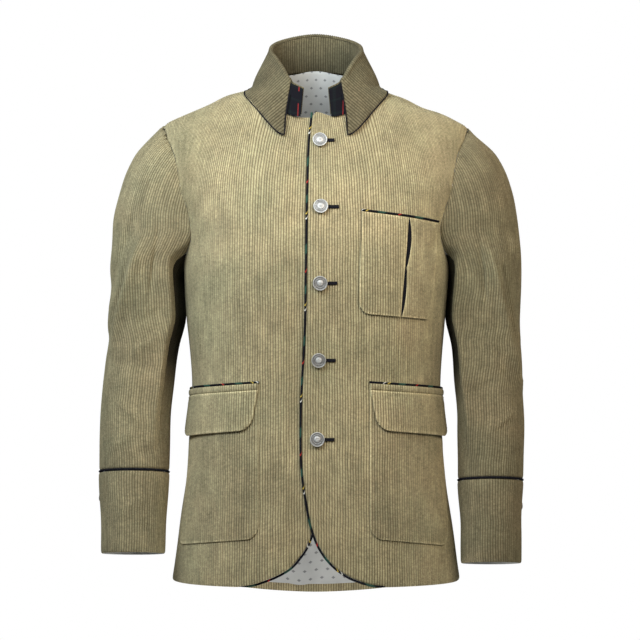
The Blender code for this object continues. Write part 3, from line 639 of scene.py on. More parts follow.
def body_level(at):
    """1 on the body, less inside it, more outside it."""
    x, y, z = np.moveaxis(at, -1, 0)
    wide = np.abs(x / half_width(z)) ** power(z)
    deep = np.abs((y - SIDE_Y) / np.where(y < SIDE_Y, depth(z, FRONT), depth(z, BACK))) ** power(z)
    return (wide + deep) ** (1 / power(z))


def off_body(at, gap):
    """The points, moved straight out where they are nearer to the body than the gap."""
    for _ in range(3):
        rise = [(body_level(at + step) - body_level(at - step)) / 2 for step in np.eye(3)]
        rise = np.stack(rise, -1)
        short = gap - (body_level(at) - 1) / np.linalg.norm(rise, axis=-1)
        at = at + unit(rise) * lifted(np.maximum(short, 0.0))
    return at


def fall_point(c, v):
    """Points of the collar fall, v from 0 over the roll to 1 at its edge."""
    c, v = np.broadcast_arrays(np.asarray(c, float), np.asarray(v, float))
    roll, out = collar_at("roll", c), collar_out(c)
    at = np.clip(v / FALL_TURN, 0, 1) * (len(ROLL) - 1)
    steps = np.arange(len(ROLL))
    over = out * lifted(np.interp(at, steps, ROLL[:, 0]))
    over[..., 2] += np.interp(at, steps, ROLL[:, 1])
    start = roll + over
    share = np.clip((v - FALL_TURN) / (1 - FALL_TURN), 0, 1)
    full = out * lifted(2.5 * np.sin(np.pi * share ** 1.5))
    fall = start + (collar_at("edge", c) - start) * lifted(share) + full
    return np.where(lifted(v) <= FALL_TURN, start, off_body(fall, CLOTH + 0.8 - 1.5 * share))


def fall_out(c, v):
    """The direction straight out of the collar fall."""
    along = fall_point(np.minimum(c + 0.01, 2), v) - fall_point(np.maximum(c - 0.01, 0), v)
    down = fall_point(c, np.minimum(v + 0.01, 1)) - fall_point(c, np.maximum(v - 0.01, 0))
    return unit(np.cross(down, along))


def graded(length, step):
    """Shares of a length in even steps that get finer towards both ends."""
    if length < 16:
        return np.linspace(0, 1, 8)
    ends = np.array([0.0, 0.6, 1.4, 2.6, 4.6])
    count = max(round((length - 2 * ends[-1]) / step), 1)
    even = np.linspace(ends[-1], length - ends[-1], count + 1)
    return np.concatenate([ends[:-1], even, length - ends[-2::-1]]) / length


def relief(way, away, ribbed, stitch, wall):
    """Height of the cloth's face: its ribs, its rolled edges and a row of stitches along them."""
    cloth = bpy.context.scene.jacket_cloth
    rolled = -0.6 * wall * np.exp(-away / 1.7)
    if not ribbed:
        return 0.25 * rolled
    across = (way * MM / cloth.wale) % 1
    ribs = np.interp(across, (0, 0.25, 0.5, 0.75, 1), (-0.66, 0.1, 0.34, 0.1, -0.66))
    sewn = -0.8 * np.exp(-((away - stitch) / 0.9) ** 2) if stitch else 0.0
    return rolled + sewn + ribs * cloth.rib / MM * ease(away / 1.5)


def strip_faces(offset, first, last):
    """Faces between rows of points that begin and end at different columns."""
    columns = np.arange(first.min(), last.max() + 1)
    index = offset[:, None] + np.clip(columns, first[:, None], last[:, None]) - first[:, None]
    a, b = index[:-1, :-1].ravel(), index[:-1, 1:].ravel()
    d, c = index[1:, :-1].ravel(), index[1:, 1:].ravel()
    whole, low, high = (a != b) & (c != d), (a != b) & (c == d), (a == b) & (c != d)
    faces = np.stack([a, b, c, d], 1)[whole].tolist()
    return faces + np.stack([a, b, c], 1)[low].tolist() + np.stack([a, c, d], 1)[high].tolist()


def end_faces(outer, first, inner, inner_first):
    """Faces that close the lower end of a shell, between its two faces."""
    faces = []
    for k in range(len(inner) - 1):
        low = max(COLUMNS * (inner_first + k) - first, 0)
        high = min(COLUMNS * (inner_first + k + 1) - first, len(outer) - 1)
        faces.append(outer[low:high + 1][::-1].tolist() + [int(inner[k]), int(inner[k + 1])])
    return faces


def new_piece(name, node, mesh):
    """Put a finished mesh in the scene in the place of a solid."""
    piece = bpy.data.objects.new(name, mesh)
    bpy.context.scene.collection.objects.link(piece)
    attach(piece, "root")
    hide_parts(node)
    return piece


def write_map(mesh, uv):
    """Give a mesh its wale map, from a place on the map for each of its points."""
    corner = np.empty(len(mesh.loops), int)
    mesh.loops.foreach_get("vertex_index", corner)
    layer = mesh.uv_layers.new(name=WALE_MAP)
    layer.data.foreach_set("uv", uv[corner].astype(np.float32).ravel())


def flat_mesh(name, at, faces, uv):
    """A smooth mesh from points in millimetres, with its wale map."""
    mesh = bpy.data.meshes.new(name)
    mesh.from_pydata((at * MM).tolist(), [], faces)
    write_map(mesh, uv)
    mesh.polygons.foreach_set("use_smooth", np.ones(len(mesh.polygons), bool))
    return mesh


def edge_distance(way, low, high, start, end, sewn):
    """How far the points of a row lie from the free edges of a piece. An edge named in sewn isn't free."""
    low = math.inf if "low" in sewn else low
    high = math.inf if "high" in sewn else high
    near = math.inf if "start" in sewn else way - start
    far = math.inf if "end" in sewn else end - way
    return np.minimum(np.minimum(near, far), min(low, high)) + 0 * way


def row_points(offset):
    """The numbers of the points in each row, from the number that each row begins with."""
    return [np.arange(a, b) for a, b in zip(offset[:-1], offset[1:])]


def side_faces(outer_rows, inner_rows):
    """Faces that close the two sides of a shell, between its two faces."""
    faces = []
    for i in range(len(outer_rows) - 1):
        low, high = (outer_rows[i], inner_rows[i]), (outer_rows[i + 1], inner_rows[i + 1])
        faces.append([int(v) for v in (low[0][0], high[0][0], high[1][0], low[1][0])])
        faces.append([int(v) for v in (low[0][-1], low[1][-1], high[1][-1], high[0][-1])])
    return faces


def cloth_piece(node, rows, start, end, place, held="hung", rests_on=(), face="corduroy", inside="lining",
                slot="corduroy", wall=CLOTH, ribbed=True, stitch=0.0, facing=0.0, sewn=()):
    """A closed cloth shell whose columns run along its wales.

    start and end give where a row begins and ends across the wales, and place gives the points at
    ways across the wales, at a row and at heights over the form. An edge named in sewn stays flat. The
    inner face is plain, with one column to a rib, and has the outer face's cloth up to the height facing.
    """
    wale = bpy.context.scene.jacket_cloth.wale / MM
    pitch = wale if ribbed else PLAIN_PITCH
    starts = np.array([float(start(t)) for t in rows])
    ends = np.array([float(end(t)) for t in rows])
    lines = np.arange(math.floor(starts.min() / pitch) * COLUMNS, math.ceil(ends.max() / pitch) * COLUMNS + 1)
    lines = lines * pitch / COLUMNS
    first = np.searchsorted(lines, starts + 0.1 * pitch, side="right") - 1
    last = np.maximum(np.searchsorted(lines, ends - 0.1 * pitch, side="left"), first + 1)
    middle = np.clip(np.median((starts + ends) / 2), starts, ends)
    line = np.concatenate([place(np.array([a]), t, 0.0) for a, t in zip(middle, rows)])
    along = run(line)
    inner_first, inner_last = first // COLUMNS, -(-last // COLUMNS)
    outer, inner, uv, inner_uv, turned = [], [], [], [], []
    for i, t in enumerate(rows):
        way = lines[first[i]:last[i] + 1].copy()
        way[0], way[-1] = starts[i], ends[i]
        away = edge_distance(way, along[i], along[-1] - along[i], starts[i], ends[i], sewn)
        sway = 0.4 * np.sin(along[i] / 13 + way / 29) * np.sin(along[i] / 31 - way / 47)
        sway = sway * ease(np.minimum(way - starts[i], ends[i] - way) / 9)
        outer.append(place(way + sway, t, relief(way, away, ribbed, stitch, wall)))
        # A painted highlight along the stitched edges of pockets and flaps
        turned.append(np.exp(-(away / 2.6) ** 2) if stitch else 0 * way)
        uv.append(np.stack([way, np.full_like(way, along[i])], 1) / wale)
        way = lines[COLUMNS * inner_first[i]:COLUMNS * inner_last[i] + 1:COLUMNS]
        way = np.clip(way, starts[i], ends[i])
        inner.append(place(way, t, np.full_like(way, -wall)))
        inner_uv.append(np.stack([way, np.full_like(way, along[i])], 1) / wale)
    offset = np.concatenate([[0], np.cumsum(last - first + 1)])
    inner_offset = offset[-1] + np.concatenate([[0], np.cumsum(inner_last - inner_first + 1)])
    outer_rows, inner_rows = row_points(offset), row_points(inner_offset)
    faces = strip_faces(offset[:-1], first, last) + side_faces(outer_rows, inner_rows)
    faces += end_faces(outer_rows[0], first[0], inner_rows[0], inner_first[0])
    top = end_faces(outer_rows[-1], first[-1], inner_rows[-1], inner_first[-1])
    faces += [corners[::-1] for corners in top]
    shown = len(faces)
    faces += [corners[::-1] for corners in strip_faces(inner_offset[:-1], inner_first, inner_last)]
    at = np.concatenate(outer + inner)
    a, b, d = outer_rows[1][1], outer_rows[1][2], outer_rows[2][1]
    under = place(lines[first[1] + 1:first[1] + 2], rows[1], np.array([-wall]))[0]
    if np.dot(np.cross(at[b] - at[a], at[d] - at[a]), at[a] - under) < 0:
        faces = [corners[::-1] for corners in faces]
    mesh = flat_mesh(node + "_cloth", at, faces, np.concatenate(uv + inner_uv))
    edge = np.zeros(len(at), np.float32)
    edge[:offset[-1]] = np.concatenate(turned)
    mesh.attributes.new(EDGE_HIGHLIGHT, "FLOAT", "POINT").data.foreach_set("value", edge)
    mesh.materials.append(stuff(face))
    mesh.materials.append(stuff(inside))
    kind = np.zeros(len(faces), int)
    kind[shown:] = 1
    if facing:
        heights = np.concatenate([np.full(len(row), way) for row, way
                                  in zip(outer_rows + inner_rows, [*along, *along])])
        kind[shown:] = [0 if heights[corners].max() < facing else 1 for corners in faces[shown:]]
    mesh.polygons.foreach_set("material_index", kind.astype(np.int32))
    mesh.set_sharp_from_angle(angle=SHARP_CLOTH)
    piece = new_piece(node + "_cloth", node, mesh)
    area = sum(polygon.area for polygon in mesh.polygons[shown:])
    return piece


def even_line(line, step):
    """A line of points at even steps along it."""
    way = run(line)
    at = np.linspace(0, way[-1], max(round(way[-1] / step), 4) + 1)
    return np.stack([np.interp(at, way, line[:, axis]) for axis in range(3)], 1)


def piping(node, line, radius=PIPE, ring=False, shift=0.0, cloth="piping"):
    """A round piping along a line of points, with its own map of the tartan's repeats."""
    step, sides = 2.5, 10
    line = even_line(line, step)
    line = line[:-1] if ring else line
    ahead, behind = np.roll(line, -1, axis=0), np.roll(line, 1, axis=0)
    if not ring:
        ahead[-1], behind[0] = line[-1], line[0]
    along = unit(ahead - behind)
    aside = unit(np.cross(along[0], (0.31, 0.83, 0.46)))
    rings = []
    for at, way in zip(line, along):
        aside = unit(aside - way * np.dot(aside, way))
        across = np.cross(way, aside)
        angle = np.arange(sides)[:, None] * 2 * math.pi / sides
        rings.append(at + radius * (np.cos(angle) * aside + np.sin(angle) * across))
    count = len(rings)
    faces = []
    for i in range(count if ring else count - 1):
        j = (i + 1) % count
        for k in range(sides):
            m = (k + 1) % sides
            faces.append([i * sides + k, i * sides + m, j * sides + m, j * sides + k])
    if not ring:
        faces += [list(range(sides))[::-1], list(range((count - 1) * sides, count * sides))]
    turn = np.tile(np.arange(sides) / sides, count)
    repeat = bpy.context.scene.jacket_cloth.tartan_repeat / MM
    way = np.repeat(np.arange(count) * step, sides) + 2 * radius * np.sin(2 * math.pi * turn)
    uv = np.stack([way / repeat + shift, turn], 1)
    mesh = flat_mesh(node + "_cord", np.concatenate(rings), faces, uv)
    mesh.materials.append(stuff(cloth))
    mesh.set_sharp_from_angle(angle=SHARP_PIPING)
    return new_piece(node + "_cord", node, mesh)


def body_rows():
    """Rows of a panel, from hem to underarm and on to its upper edge."""
    return np.concatenate([graded(456, 6.5), 1 + graded(212, 6.0)[1:]])


def lean_in(t):
    """How much nearer to the middle the wales of a panel lie towards the shoulder."""
    return 1 - 0.13 * min(max((t - 1.35) / 0.65, 0.0), 1.0) ** 2


def under_lap(u):
    """How far the under front is set back towards its edge."""
    return LAP_STEP * ease((48 - u) / 22)


def make_fronts():
    """The two fronts, whose wales run down to their rounded lower corners."""
    for side, name in SIDES:
        turn = np.linspace(HEM_FRONT, CUTAWAY, 240)
        turn_u = edge_u[side](turn)

        def low(u):
            return np.interp(u, turn_u[::-1], turn[::-1])

        def place(way, t, lift):
            u = way * lean_in(t)
            lap = under_lap(u) if side == RIGHT else 0.0
            corner = np.exp(-((u - 1) / np.where(u < 1, 5.5, 20)) ** 2) * ease((t - 1.5) * 2)
            corner = NECK_CORNER * corner if side == LEFT else 0.0
            at = body(side * u, body_row(u, t, low(u), FRONT) + corner, FRONT, lift - lap)
            return at + points(0, FRONT * SEAM * (t == 2), 0)

        def start(t):
            edge = turn_u[-1]
            return edge_u[side](body_row(edge, t, CUTAWAY, FRONT)) / lean_in(t) if t > 0 else edge

        cloth_piece("front_" + name, body_rows(), start, lambda t: body_end(t, FRONT) / lean_in(t), place,
                    rests_on=["back_cloth"], sewn=("end",))


def make_back():
    """The back in one piece, with a hem folded up from its own cloth."""
    def place(way, t, lift):
        u = way * lean_in(t)
        at = body(u, body_row(u, t, hem_z(u, BACK), BACK), BACK, lift)
        return at + points(0, BACK * SEAM * (t == 2), 0)

    def end(t):
        return body_end(t, BACK) / lean_in(t)

    cloth_piece("back", body_rows(), lambda t: -end(t), end, place, facing=16.0, sewn=("start", "end"))


def make_lining():
    """The smooth lining that shows inside the back, with a loose lower edge."""
    def low(u):
        return hem_z(u, BACK) + LINING_HEM + 2.4 * np.sin(u / 21) + 1.3 * np.sin(u / 9 + 1)

    def place(u, t, lift):
        share = np.abs(u) / body_end(t, BACK)
        free = 4 * ease(2 * share - 1) * ease(1.2 - abs(t - 1.03) / 0.2)
        slack = 0.9 * np.sin(u / 17) * np.sin(t * 9 + u / 41)
        z = body_row(u, t, low(u), BACK) + 7.2 * ease(10 * (t - 1.885)) * ease((80 - np.abs(u)) / 25)
        return body(u, z, BACK, lift - CLOTH - LINING_GAP - free + np.minimum(slack, 0.3))

    def end(t):
        return body_end(t, BACK) - LINING_SIDE

    rows = np.concatenate([graded(440, 9), 1 + 0.985 * graded(208, 9)[1:]])
    cloth_piece("lining_back", rows, lambda t: -end(t), end, place, rests_on=["back_cloth"], face="lining",
                slot="lining", wall=THIN, ribbed=False)


def make_sleeves():
    """Each sleeve in an upper and a lower piece, between the armhole and the cuff seam."""
    for side, name in SIDES:
        low = CUFF_SEAM[side] + PIPE + SEAM
        outer_angles, inner_angles = sleeve_angles(side, 0.0), sleeve_angles(side, math.pi)

        def top_place(way, z, lift):
            if z <= CAP_TOP:
                return sewn_sleeve(side, outer_angles(way, z), z, lift)
            cap = top_place(way, CAP_TOP, lift)
            high = np.interp(np.abs(cap[:, 1] - SIDE_Y), reach(TIP_HEIGHTS)[::-1], TIP_HEIGHTS[::-1])
            tip = armhole_point(side, high, cap[:, 1] - SIDE_Y, lift)
            share = (z - CAP_TOP) / CAP_CLOSE
            far = np.minimum(np.linalg.norm(tip - cap, axis=1) / 15, 1)
            full = SLEEVE_HEAD * far * math.sin(math.pi * share ** 2)
            return cap + (tip - cap) * share + lifted(full) * np.array((0.45 * side, 0, 0.9))

        def top_way(z, seam, turn):
            z = min(z, CAP_TOP)
            ring = sleeve_ring(side, z)
            angle = min(seam, float(ring[4])) - SLEEVE_SEAM / float(ring[2])
            return np.interp(turn * angle, *sleeve_way(side, z, 0.0))

        heights = low + (CAP_TOP - low) * graded(CAP_TOP - low, 6.0)
        heights = np.concatenate([heights, CAP_TOP + CAP_CLOSE * CAP_ROWS])
        cloth_piece("sleeve_top_" + name, heights, lambda z: top_way(z, HIND_SEAM, -1),
                    lambda z: top_way(z, FORE_SEAM, 1), top_place, face=name + " sleeve corduroy",
                    sewn=("start", "end", "high"))

        def under_top(angle):
            return under_sleeve_top(side, angle) - 0.4

        def under_place(way, t, lift):
            z = low + (under_top(inner_angles(way, UNDERARM)) - low) * t
            return sewn_sleeve(side, inner_angles(way, z), z, lift)

        def under_way(angle, t):
            z = low + (float(under_top(np.array([angle]))[0]) - low) * t
            return np.interp(angle, *sleeve_way(side, z, math.pi))

        turn = SLEEVE_SEAM / 70
        cloth_piece("sleeve_under_" + name, graded(UNDERARM - low, 6.0),
                    lambda t: under_way(FORE_SEAM + turn, t),
                    lambda t: under_way(2 * math.pi - HIND_SEAM - turn, t), under_place,
                    face="under sleeve corduroy", sewn=("start", "end", "high"))


def make_cuffs():
    """The deep cuffs, seamed along the inner side of the arm."""
    for side, name in SIDES:
        angles = sleeve_angles(side, 0.0)
        top = CUFF_SEAM[side] - PIPE - SEAM
        half = sleeve_way(side, (top + CUFF_END[side]) / 2, 0.0)[1][-1]

        def place(way, t, lift):
            z = CUFF_END[side] + (top - CUFF_END[side]) * t
            around = sleeve_way(side, z, 0.0)[1][-1]
            return sleeve(side, angles(way * around / half, z), z, lift + 0.6)

        cloth_piece("cuff_" + name, graded(top - CUFF_END[side], 6.0), lambda t: SEAM - half,
                    lambda t: half - SEAM, place, face=name + " sleeve corduroy")


def stand_point(c, t):
    """Points of the outer face of the collar stand."""
    top = collar_at("roll", c) - 1.2 * collar_out(c) - np.array((0, 0, 2.3))
    base = collar_at("base", c)
    return base + (top - base) * t


def make_collar():
    """The stand, ribbed on the side that shows, the fall over it and the dark facings of its ends."""
    c = np.linspace(0, 2, 401)
    way_at = run(stand_point(c, 0.5))
    way_at = way_at - way_at[200]

    def stand_place(way, t, lift):
        at = np.interp(way, way_at, c)
        return stand_point(at, t) - collar_out(at) * lifted(lift + CLOTH)

    cloth_piece("collar_stand", graded(48, 5), lambda t: way_at[0], lambda t: way_at[-1], stand_place,
                face="stand corduroy", inside="collar corduroy", sewn=("low", "high"))

    half_c = np.linspace(FALL_START, 1, 350)
    fall_c = np.concatenate([half_c, 2 - half_c[-2::-1]])
    behind = ease((half_c[1:] - 0.4) / 0.3)

    def fall_ways(v):
        """The way across the wales: straight slanting lines in front, round the neck behind."""
        line = fall_point(half_c, v)
        slant = line @ np.array((0.62, 0.3, 0.6))
        front = np.diff(slant) * (1 - behind)
        back = np.linalg.norm(np.diff(line, axis=0), axis=1) * behind
        stretch = (FALL_HALF - slant[0] - front.sum()) / back.sum()
        way = slant[0] + np.concatenate([[0], np.cumsum(front + stretch * back)]) - FALL_HALF
        return np.maximum.accumulate(np.concatenate([way, -way[-2::-1]]))

    def fall_place(way, v, lift):
        at = np.interp(way, fall_ways(v), fall_c)
        return fall_point(at, v) + fall_out(at, v) * lifted(lift)

    rows = np.concatenate([np.linspace(0, FALL_TURN, 13), FALL_TURN + (1 - FALL_TURN) * graded(64, 4)[1:]])
    cloth_piece("collar_fall", rows, lambda v: fall_ways(v)[0], lambda v: fall_ways(v)[-1], fall_place,
                rests_on=["collar_stand_cloth"], held="folded", face="collar corduroy",
                inside="collar corduroy", sewn=("low",))

    for side, name in SIDES:
        def facing_place(way, t, lift):
            at = FACING_END * np.asarray(FACING_WIDTH - way if side == LEFT else way) / FACING_WIDTH
            point = stand_point(at, -0.08 + 1.04 * t) + collar_out(at) * lifted(REST + 1.4 + lift)
            return point * np.array((side, 1, 1))

        cloth_piece("collar_facing_" + name, np.linspace(0, 1, 14), lambda t: 0.0, lambda t: FACING_WIDTH,
                    facing_place, held="laid", rests_on=["collar_stand_cloth"], face="tartan",
                    inside="tartan", slot="tartan", wall=FACING_WALL, ribbed=False)


def rounded(t, height, corner):
    """How far a rounded lower corner draws in the side of a pocket at the share t of its height."""
    up = min(t * height, corner)
    return corner - math.sqrt(corner * corner - (corner - up) ** 2)


def make_hip_pockets():
    """Bags, welts and flaps of the two hip pockets."""
    bag_lift = CLOSE + 1.0
    flap_lift = REST + CLOTH + 2.1
    flap_top = HIP_TOP - HIP_WELT - SEAM
    for side, name in SIDES:
        panel = f"front_{name}_cloth"

        def outer_end(z):
            return float(panel_end(z, FRONT)) - HIP_MARGIN

        def ends(t, top, bottom, taper, flare):
            inset = rounded(t, top - bottom, HIP_CORNER)
            start = HIP_INNER[side] + inset + taper * (1 - t)
            draw = rounded(t, top - bottom, FLAP_CORNER) if flare else inset + HIP_DRAW[side] * (1 - t)
            return start, outer_end(bottom + (top - bottom) * t) - draw

        def pocket(node, top, bottom, up, taper, flare, **look):
            def place(u, t, lift):
                start, end = ends(t, top, bottom, taper, flare)
                s = np.clip((u - start) / (end - start), 0, 1)
                off = up + flare * (1 - t) * (0.35 + 0.65 * s ** 3)
                z = bottom + (top - bottom) * t - HIP_SLOPE * s
                if flare:
                    z = z + FLAP_CORNER_RISE * (1 - t) * np.clip((s - 0.84) / 0.16, 0, 1) ** 2
                return body(side * u, z, FRONT, off + lift)

            cloth_piece(node, graded(top - bottom, 6.0), lambda t: ends(t, top, bottom, taper, flare)[0],
                        lambda t: ends(t, top, bottom, taper, flare)[1], place, held="laid",
                        rests_on=[panel], **look)

        pocket("hip_pocket_" + name, HIP_TOP - 4, HIP_BOTTOM, bag_lift, 0, 0, stitch=3.4, face="bag corduroy",
               inside="bag corduroy", wall=CLOSE)
        pocket("hip_flap_" + name, flap_top, flap_top - FLAP_DROP, flap_lift, FLAP_TAPER, FLAP_FLARE,
               stitch=4.4)

        def welt_place(u, t, lift):
            z = HIP_TOP - HIP_WELT + (HIP_WELT - PIPE - SEAM) * t
            s = (u - HIP_INNER[side]) / (outer_end(HIP_TOP) - HIP_INNER[side])
            return body(side * u, z - HIP_SLOPE * s, FRONT, flap_lift + lift)

        cloth_piece("hip_welt_" + name, graded(HIP_WELT, 3), lambda t: HIP_INNER[side],
                    lambda t: outer_end(HIP_TOP), welt_place, held="laid", rests_on=[panel])


def slit_u(t):
    """Where the pleat of the chest pocket lies at the share t of its height."""
    return CHEST_SLIT - CHEST_TAPER * (1 - t)


def chest_drop(u, t):
    """How much lower the chest pocket lies towards the side."""
    return CHEST_SLOPE * (0.72 + 0.28 * t) * (u - CHEST_INNER) / (CHEST_OUTER - CHEST_INNER)


def make_chest_pocket():
    """The two halves of the chest pocket and the dark underlay of the pleat between them."""
    height = CHEST_TOP - CHEST_BOTTOM

    def gap(t):
        tack = SLIT_TACK * math.exp(-((t - 0.5) / 0.07) ** 2)
        width = (SLIT_UPPER if t > 0.5 else SLIT_LOWER) * SLIT_WIDTH
        return 0.5 + tack + width * abs(math.sin(2 * math.pi * t)) ** 0.7

    def inset(t):
        return rounded(t, height, CHEST_CORNER)

    def place(u, t, lift):
        z = CHEST_BOTTOM + height * t - chest_drop(u, t)
        return body(u, z, FRONT, REST + THIN + 0.3 + CLOSE + lift)

    cloth_piece("chest_pocket_inner", graded(height, 6.0),
                lambda t: CHEST_INNER - 0.5 * CHEST_TAPER * (1 - t) + inset(t),
                lambda t: slit_u(t) - 0.5, place, held="laid", rests_on=["front_left_cloth"], stitch=3.2,
                inside="corduroy", wall=CLOSE)
    cloth_piece("chest_pocket_outer", graded(height, 6.0), lambda t: slit_u(t) + 2 * gap(t) - 0.5,
                lambda t: CHEST_OUTER - 1.5 * CHEST_TAPER * (1 - t) - 0.5 * inset(t), place, held="laid",
                rests_on=["front_left_cloth"], stitch=3.2, face="pocket corduroy", inside="pocket corduroy",
                wall=CLOSE)

    def pleat_place(way, t, lift):
        u = slit_u(t) + way
        z = CHEST_BOTTOM + 3 + (height - 6) * t
        return body(u, z - chest_drop(u, t), FRONT, REST + THIN + lift)

    half = SLIT_WIDTH / 2 + PLEAT_TUCK
    cloth_piece("chest_pleat", graded(height - 6, 8.0), lambda t: -half, lambda t: half, pleat_place,
                held="folded", rests_on=["front_left_cloth"], face="binding", inside="binding", slot="tartan",
                wall=THIN, ribbed=False)


def front_edge_line(side):
    """The line of a front's piping, from the hem up to the neck. It goes under the hem at its lower end."""
    turn = np.linspace(HEM_FRONT, CUTAWAY, 90)
    top = NECK_FRONT + (NECK_CORNER - 1 if side == LEFT else 0.5)
    z = np.concatenate([turn, np.linspace(CUTAWAY, top, 220)[1:]])
    u = edge_u[side](z)
    along = unit(np.stack([np.gradient(u), np.gradient(z)], 1))
    out = (PIPE + SEAM) * ease((u[0] - u) / 22) - 1.5 * ease(1 - (u[0] - u) / 22)
    u, z = u - along[:, 1] * out, z + along[:, 0] * out
    lift = -CLOTH / 2 - (LAP_STEP + 0.4) * (side == RIGHT) - 2.6 * ease(1 - (u.max() - u) / 16)
    return body(side * u, z, FRONT, lift)


def collar_edge_line():
    """The line of the collar's piping: down one front end of the fall, along its edge and up the other."""
    c = np.linspace(FALL_START, 2 - FALL_START, 120)
    down = unit(fall_point(c, 1.0) - fall_point(c, 0.9))
    along = fall_point(np.minimum(c + 0.05, 2), 1.0) - fall_point(np.maximum(c - 0.05, 0), 1.0)
    edge = fall_point(c, 1.0) + down * (EDGE_PIPE + 0.5) + unit(np.cross(along, down)) * CLOTH / 2
    edge = off_body(edge, 1.3)
    edge[0, 0] -= 1.2
    edge[-1, 0] += 1.2
    near = fall_point(FALL_START, np.linspace(0.45, 0.9, 12)) - np.array((1.5, 0, 0))
    far = near[::-1] * np.array((-1, 1, 1))
    return np.concatenate([near, edge, far])


def make_piping():
    """The tartan piping of the front edges, pockets, cuffs and collar."""
    for side, name in SIDES:
        piping("front_piping_" + name, front_edge_line(side), shift=0.5 if side == LEFT else 0.1)

        angles = np.linspace(0, 2 * math.pi, 121)
        seam = sleeve(side, angles, np.full_like(angles, CUFF_SEAM[side]), -0.4)
        piping("cuff_piping_" + name, seam, ring=True, cloth="binding")

        end = float(panel_end(HIP_TOP, FRONT)) - 4 - HIP_INNER[side]
        s = np.linspace(0, 1, 60)
        u = HIP_INNER[side] - 1 + s * end
        piping("hip_piping_" + name, body(side * u, HIP_TOP - HIP_SLOPE * s, FRONT, PIPE + REST),
               shift=0.9 if side == LEFT else 0.05)

    s = np.linspace(0, 1, 50)
    u = CHEST_INNER - 1 + s * (CHEST_OUTER - CHEST_INNER + 2)
    mouth = body(u, CHEST_TOP + PIPE + 0.6 - CHEST_SLOPE * s, FRONT, PIPE + REST)
    piping("chest_piping", mouth, shift=0.06)
    piping("collar_piping", collar_edge_line(), radius=EDGE_PIPE, cloth="binding")


def make_buttonholes():
    """The dark bound buttonholes, each with two lips and a slit between them."""
    for number, row in enumerate(BUTTONS, 1):
        def place(u, t, lift):
            lips = 0.5 * math.sin(2 * math.pi * t) ** 2
            z = row.z + (t - 0.5) * HOLE_HEIGHT
            return body(u, z, FRONT, REST + THIN + lips + lift)

        cloth_piece(f"buttonhole_{number}", np.linspace(0, 1, 13), lambda t: row.u - HOLE_START,
                    lambda t: row.hole_end, place, held="laid", rests_on=["front_left_cloth"], face="binding",
                    inside="binding", slot="tartan", wall=THIN, ribbed=False)


def make_buttons():
    """Silver buttons with a raised rim, a ring of beads and a plain rosette."""
    pattern = model_button()
    for number, row in enumerate(BUTTONS, 1):
        out = body_out(np.array([row.u]), np.array([row.z]), FRONT)[0]
        at = body(np.array([row.u]), np.array([row.z]), FRONT, REST + THIN + 0.6)[0]
        copy_button(pattern, f"button_{number}", at, out, BUTTON_RADIUS, 0.4 * number)
    for side, name in SIDES:
        angle, z = CUFF_BUTTON_ANGLE, CUFF_SEAM[side] - CUFF_BUTTON_DROP
        out = np.array((side * math.cos(angle), -math.sin(angle), 0))
        at = sleeve(side, np.array([angle]), np.array([z]), 0.6)[0] + 0.8 * out
        copy_button(pattern, "cuff_button_" + name, at, out, CUFF_BUTTON_RADIUS, 0.0)
    bpy.data.objects.remove(pattern, do_unlink=True)


def raise_face(rise, widen):
    """Draw the chosen face up and make it wider or narrower about the button's axis."""
    bpy.ops.mesh.extrude_region_move(TRANSFORM_OT_translate={"value": (0, 0, rise)})
    bpy.ops.transform.resize(value=(widen, widen, 1), center_override=(0, 0, 0))


def model_button():
    """One button of radius 1, modelled about its axis."""
    bpy.ops.object.select_all(action="DESELECT")
    bpy.ops.mesh.primitive_cylinder_add(vertices=48, radius=0.78, depth=0.1, location=(0, 0, 0.05))
    pattern = bpy.context.object
    pattern.name = "button_pattern"
    bpy.ops.object.mode_set(mode="EDIT")
    shape = bmesh.from_edit_mesh(pattern.data)
    for face in shape.faces:
        face.select_set(face.normal.z > 0.9)
    bmesh.update_edit_mesh(pattern.data)
    raise_face(0.1, 1.28)
    raise_face(0.1, 0.97)
    for step in BUTTON_STEPS:
        bpy.ops.mesh.inset(thickness=step.inset, depth=step.rise)
    for angle in np.arange(BEADS) * 2 * math.pi / BEADS:
        spot = (0.755 * math.cos(angle), 0.755 * math.sin(angle), 0.235)
        bpy.ops.mesh.primitive_uv_sphere_add(segments=8, ring_count=6, radius=0.052, location=spot)
    for angle in np.arange(PETALS) * 2 * math.pi / PETALS:
        spot = (0.2 * math.cos(angle), 0.2 * math.sin(angle), 0.31)
        bpy.ops.mesh.primitive_uv_sphere_add(segments=10, ring_count=6, radius=0.1, scale=(1.25, 0.72, 0.6),
                                             rotation=(0, 0, angle), location=spot)
    bpy.ops.mesh.primitive_uv_sphere_add(segments=12, ring_count=6, radius=0.085, location=(0, 0, 0.32))
    bpy.ops.object.mode_set(mode="OBJECT")
    rim = pattern.modifiers.new("Soft edges", "BEVEL")
    rim.width = 0.014
    rim.segments = 2
    rim.limit_method = "ANGLE"
    rim.angle_limit = math.radians(35)
    bpy.ops.object.modifier_apply(modifier=rim.name)
    bpy.ops.object.shade_smooth_by_angle(angle=math.radians(40))
    return pattern


def copy_button(pattern, node, at, out, radius, turn):
    """A copy of the button in its place, mapped by the distance from its axis and its height."""
    mesh = pattern.data.copy()
    mesh.name = node + "_metal"
    spots = np.empty(len(mesh.vertices) * 3)
    mesh.vertices.foreach_get("co", spots)
    spots = spots.reshape(-1, 3)
    for layer in list(mesh.uv_layers):
        mesh.uv_layers.remove(layer)
    write_map(mesh, np.stack([np.hypot(spots[:, 0], spots[:, 1]), spots[:, 2]], 1))
    stand = Vector(out).to_track_quat("Z", "Y").to_matrix().to_4x4()
    mesh.transform(Matrix.Translation(Vector(at) * MM) @ stand @ Matrix.Rotation(turn, 4, "Z")
                   @ Matrix.Scale(radius * MM, 4))
    mesh.materials.clear()
    mesh.materials.append(stuff("silver"))
    return new_piece(node + "_metal", node, mesh)


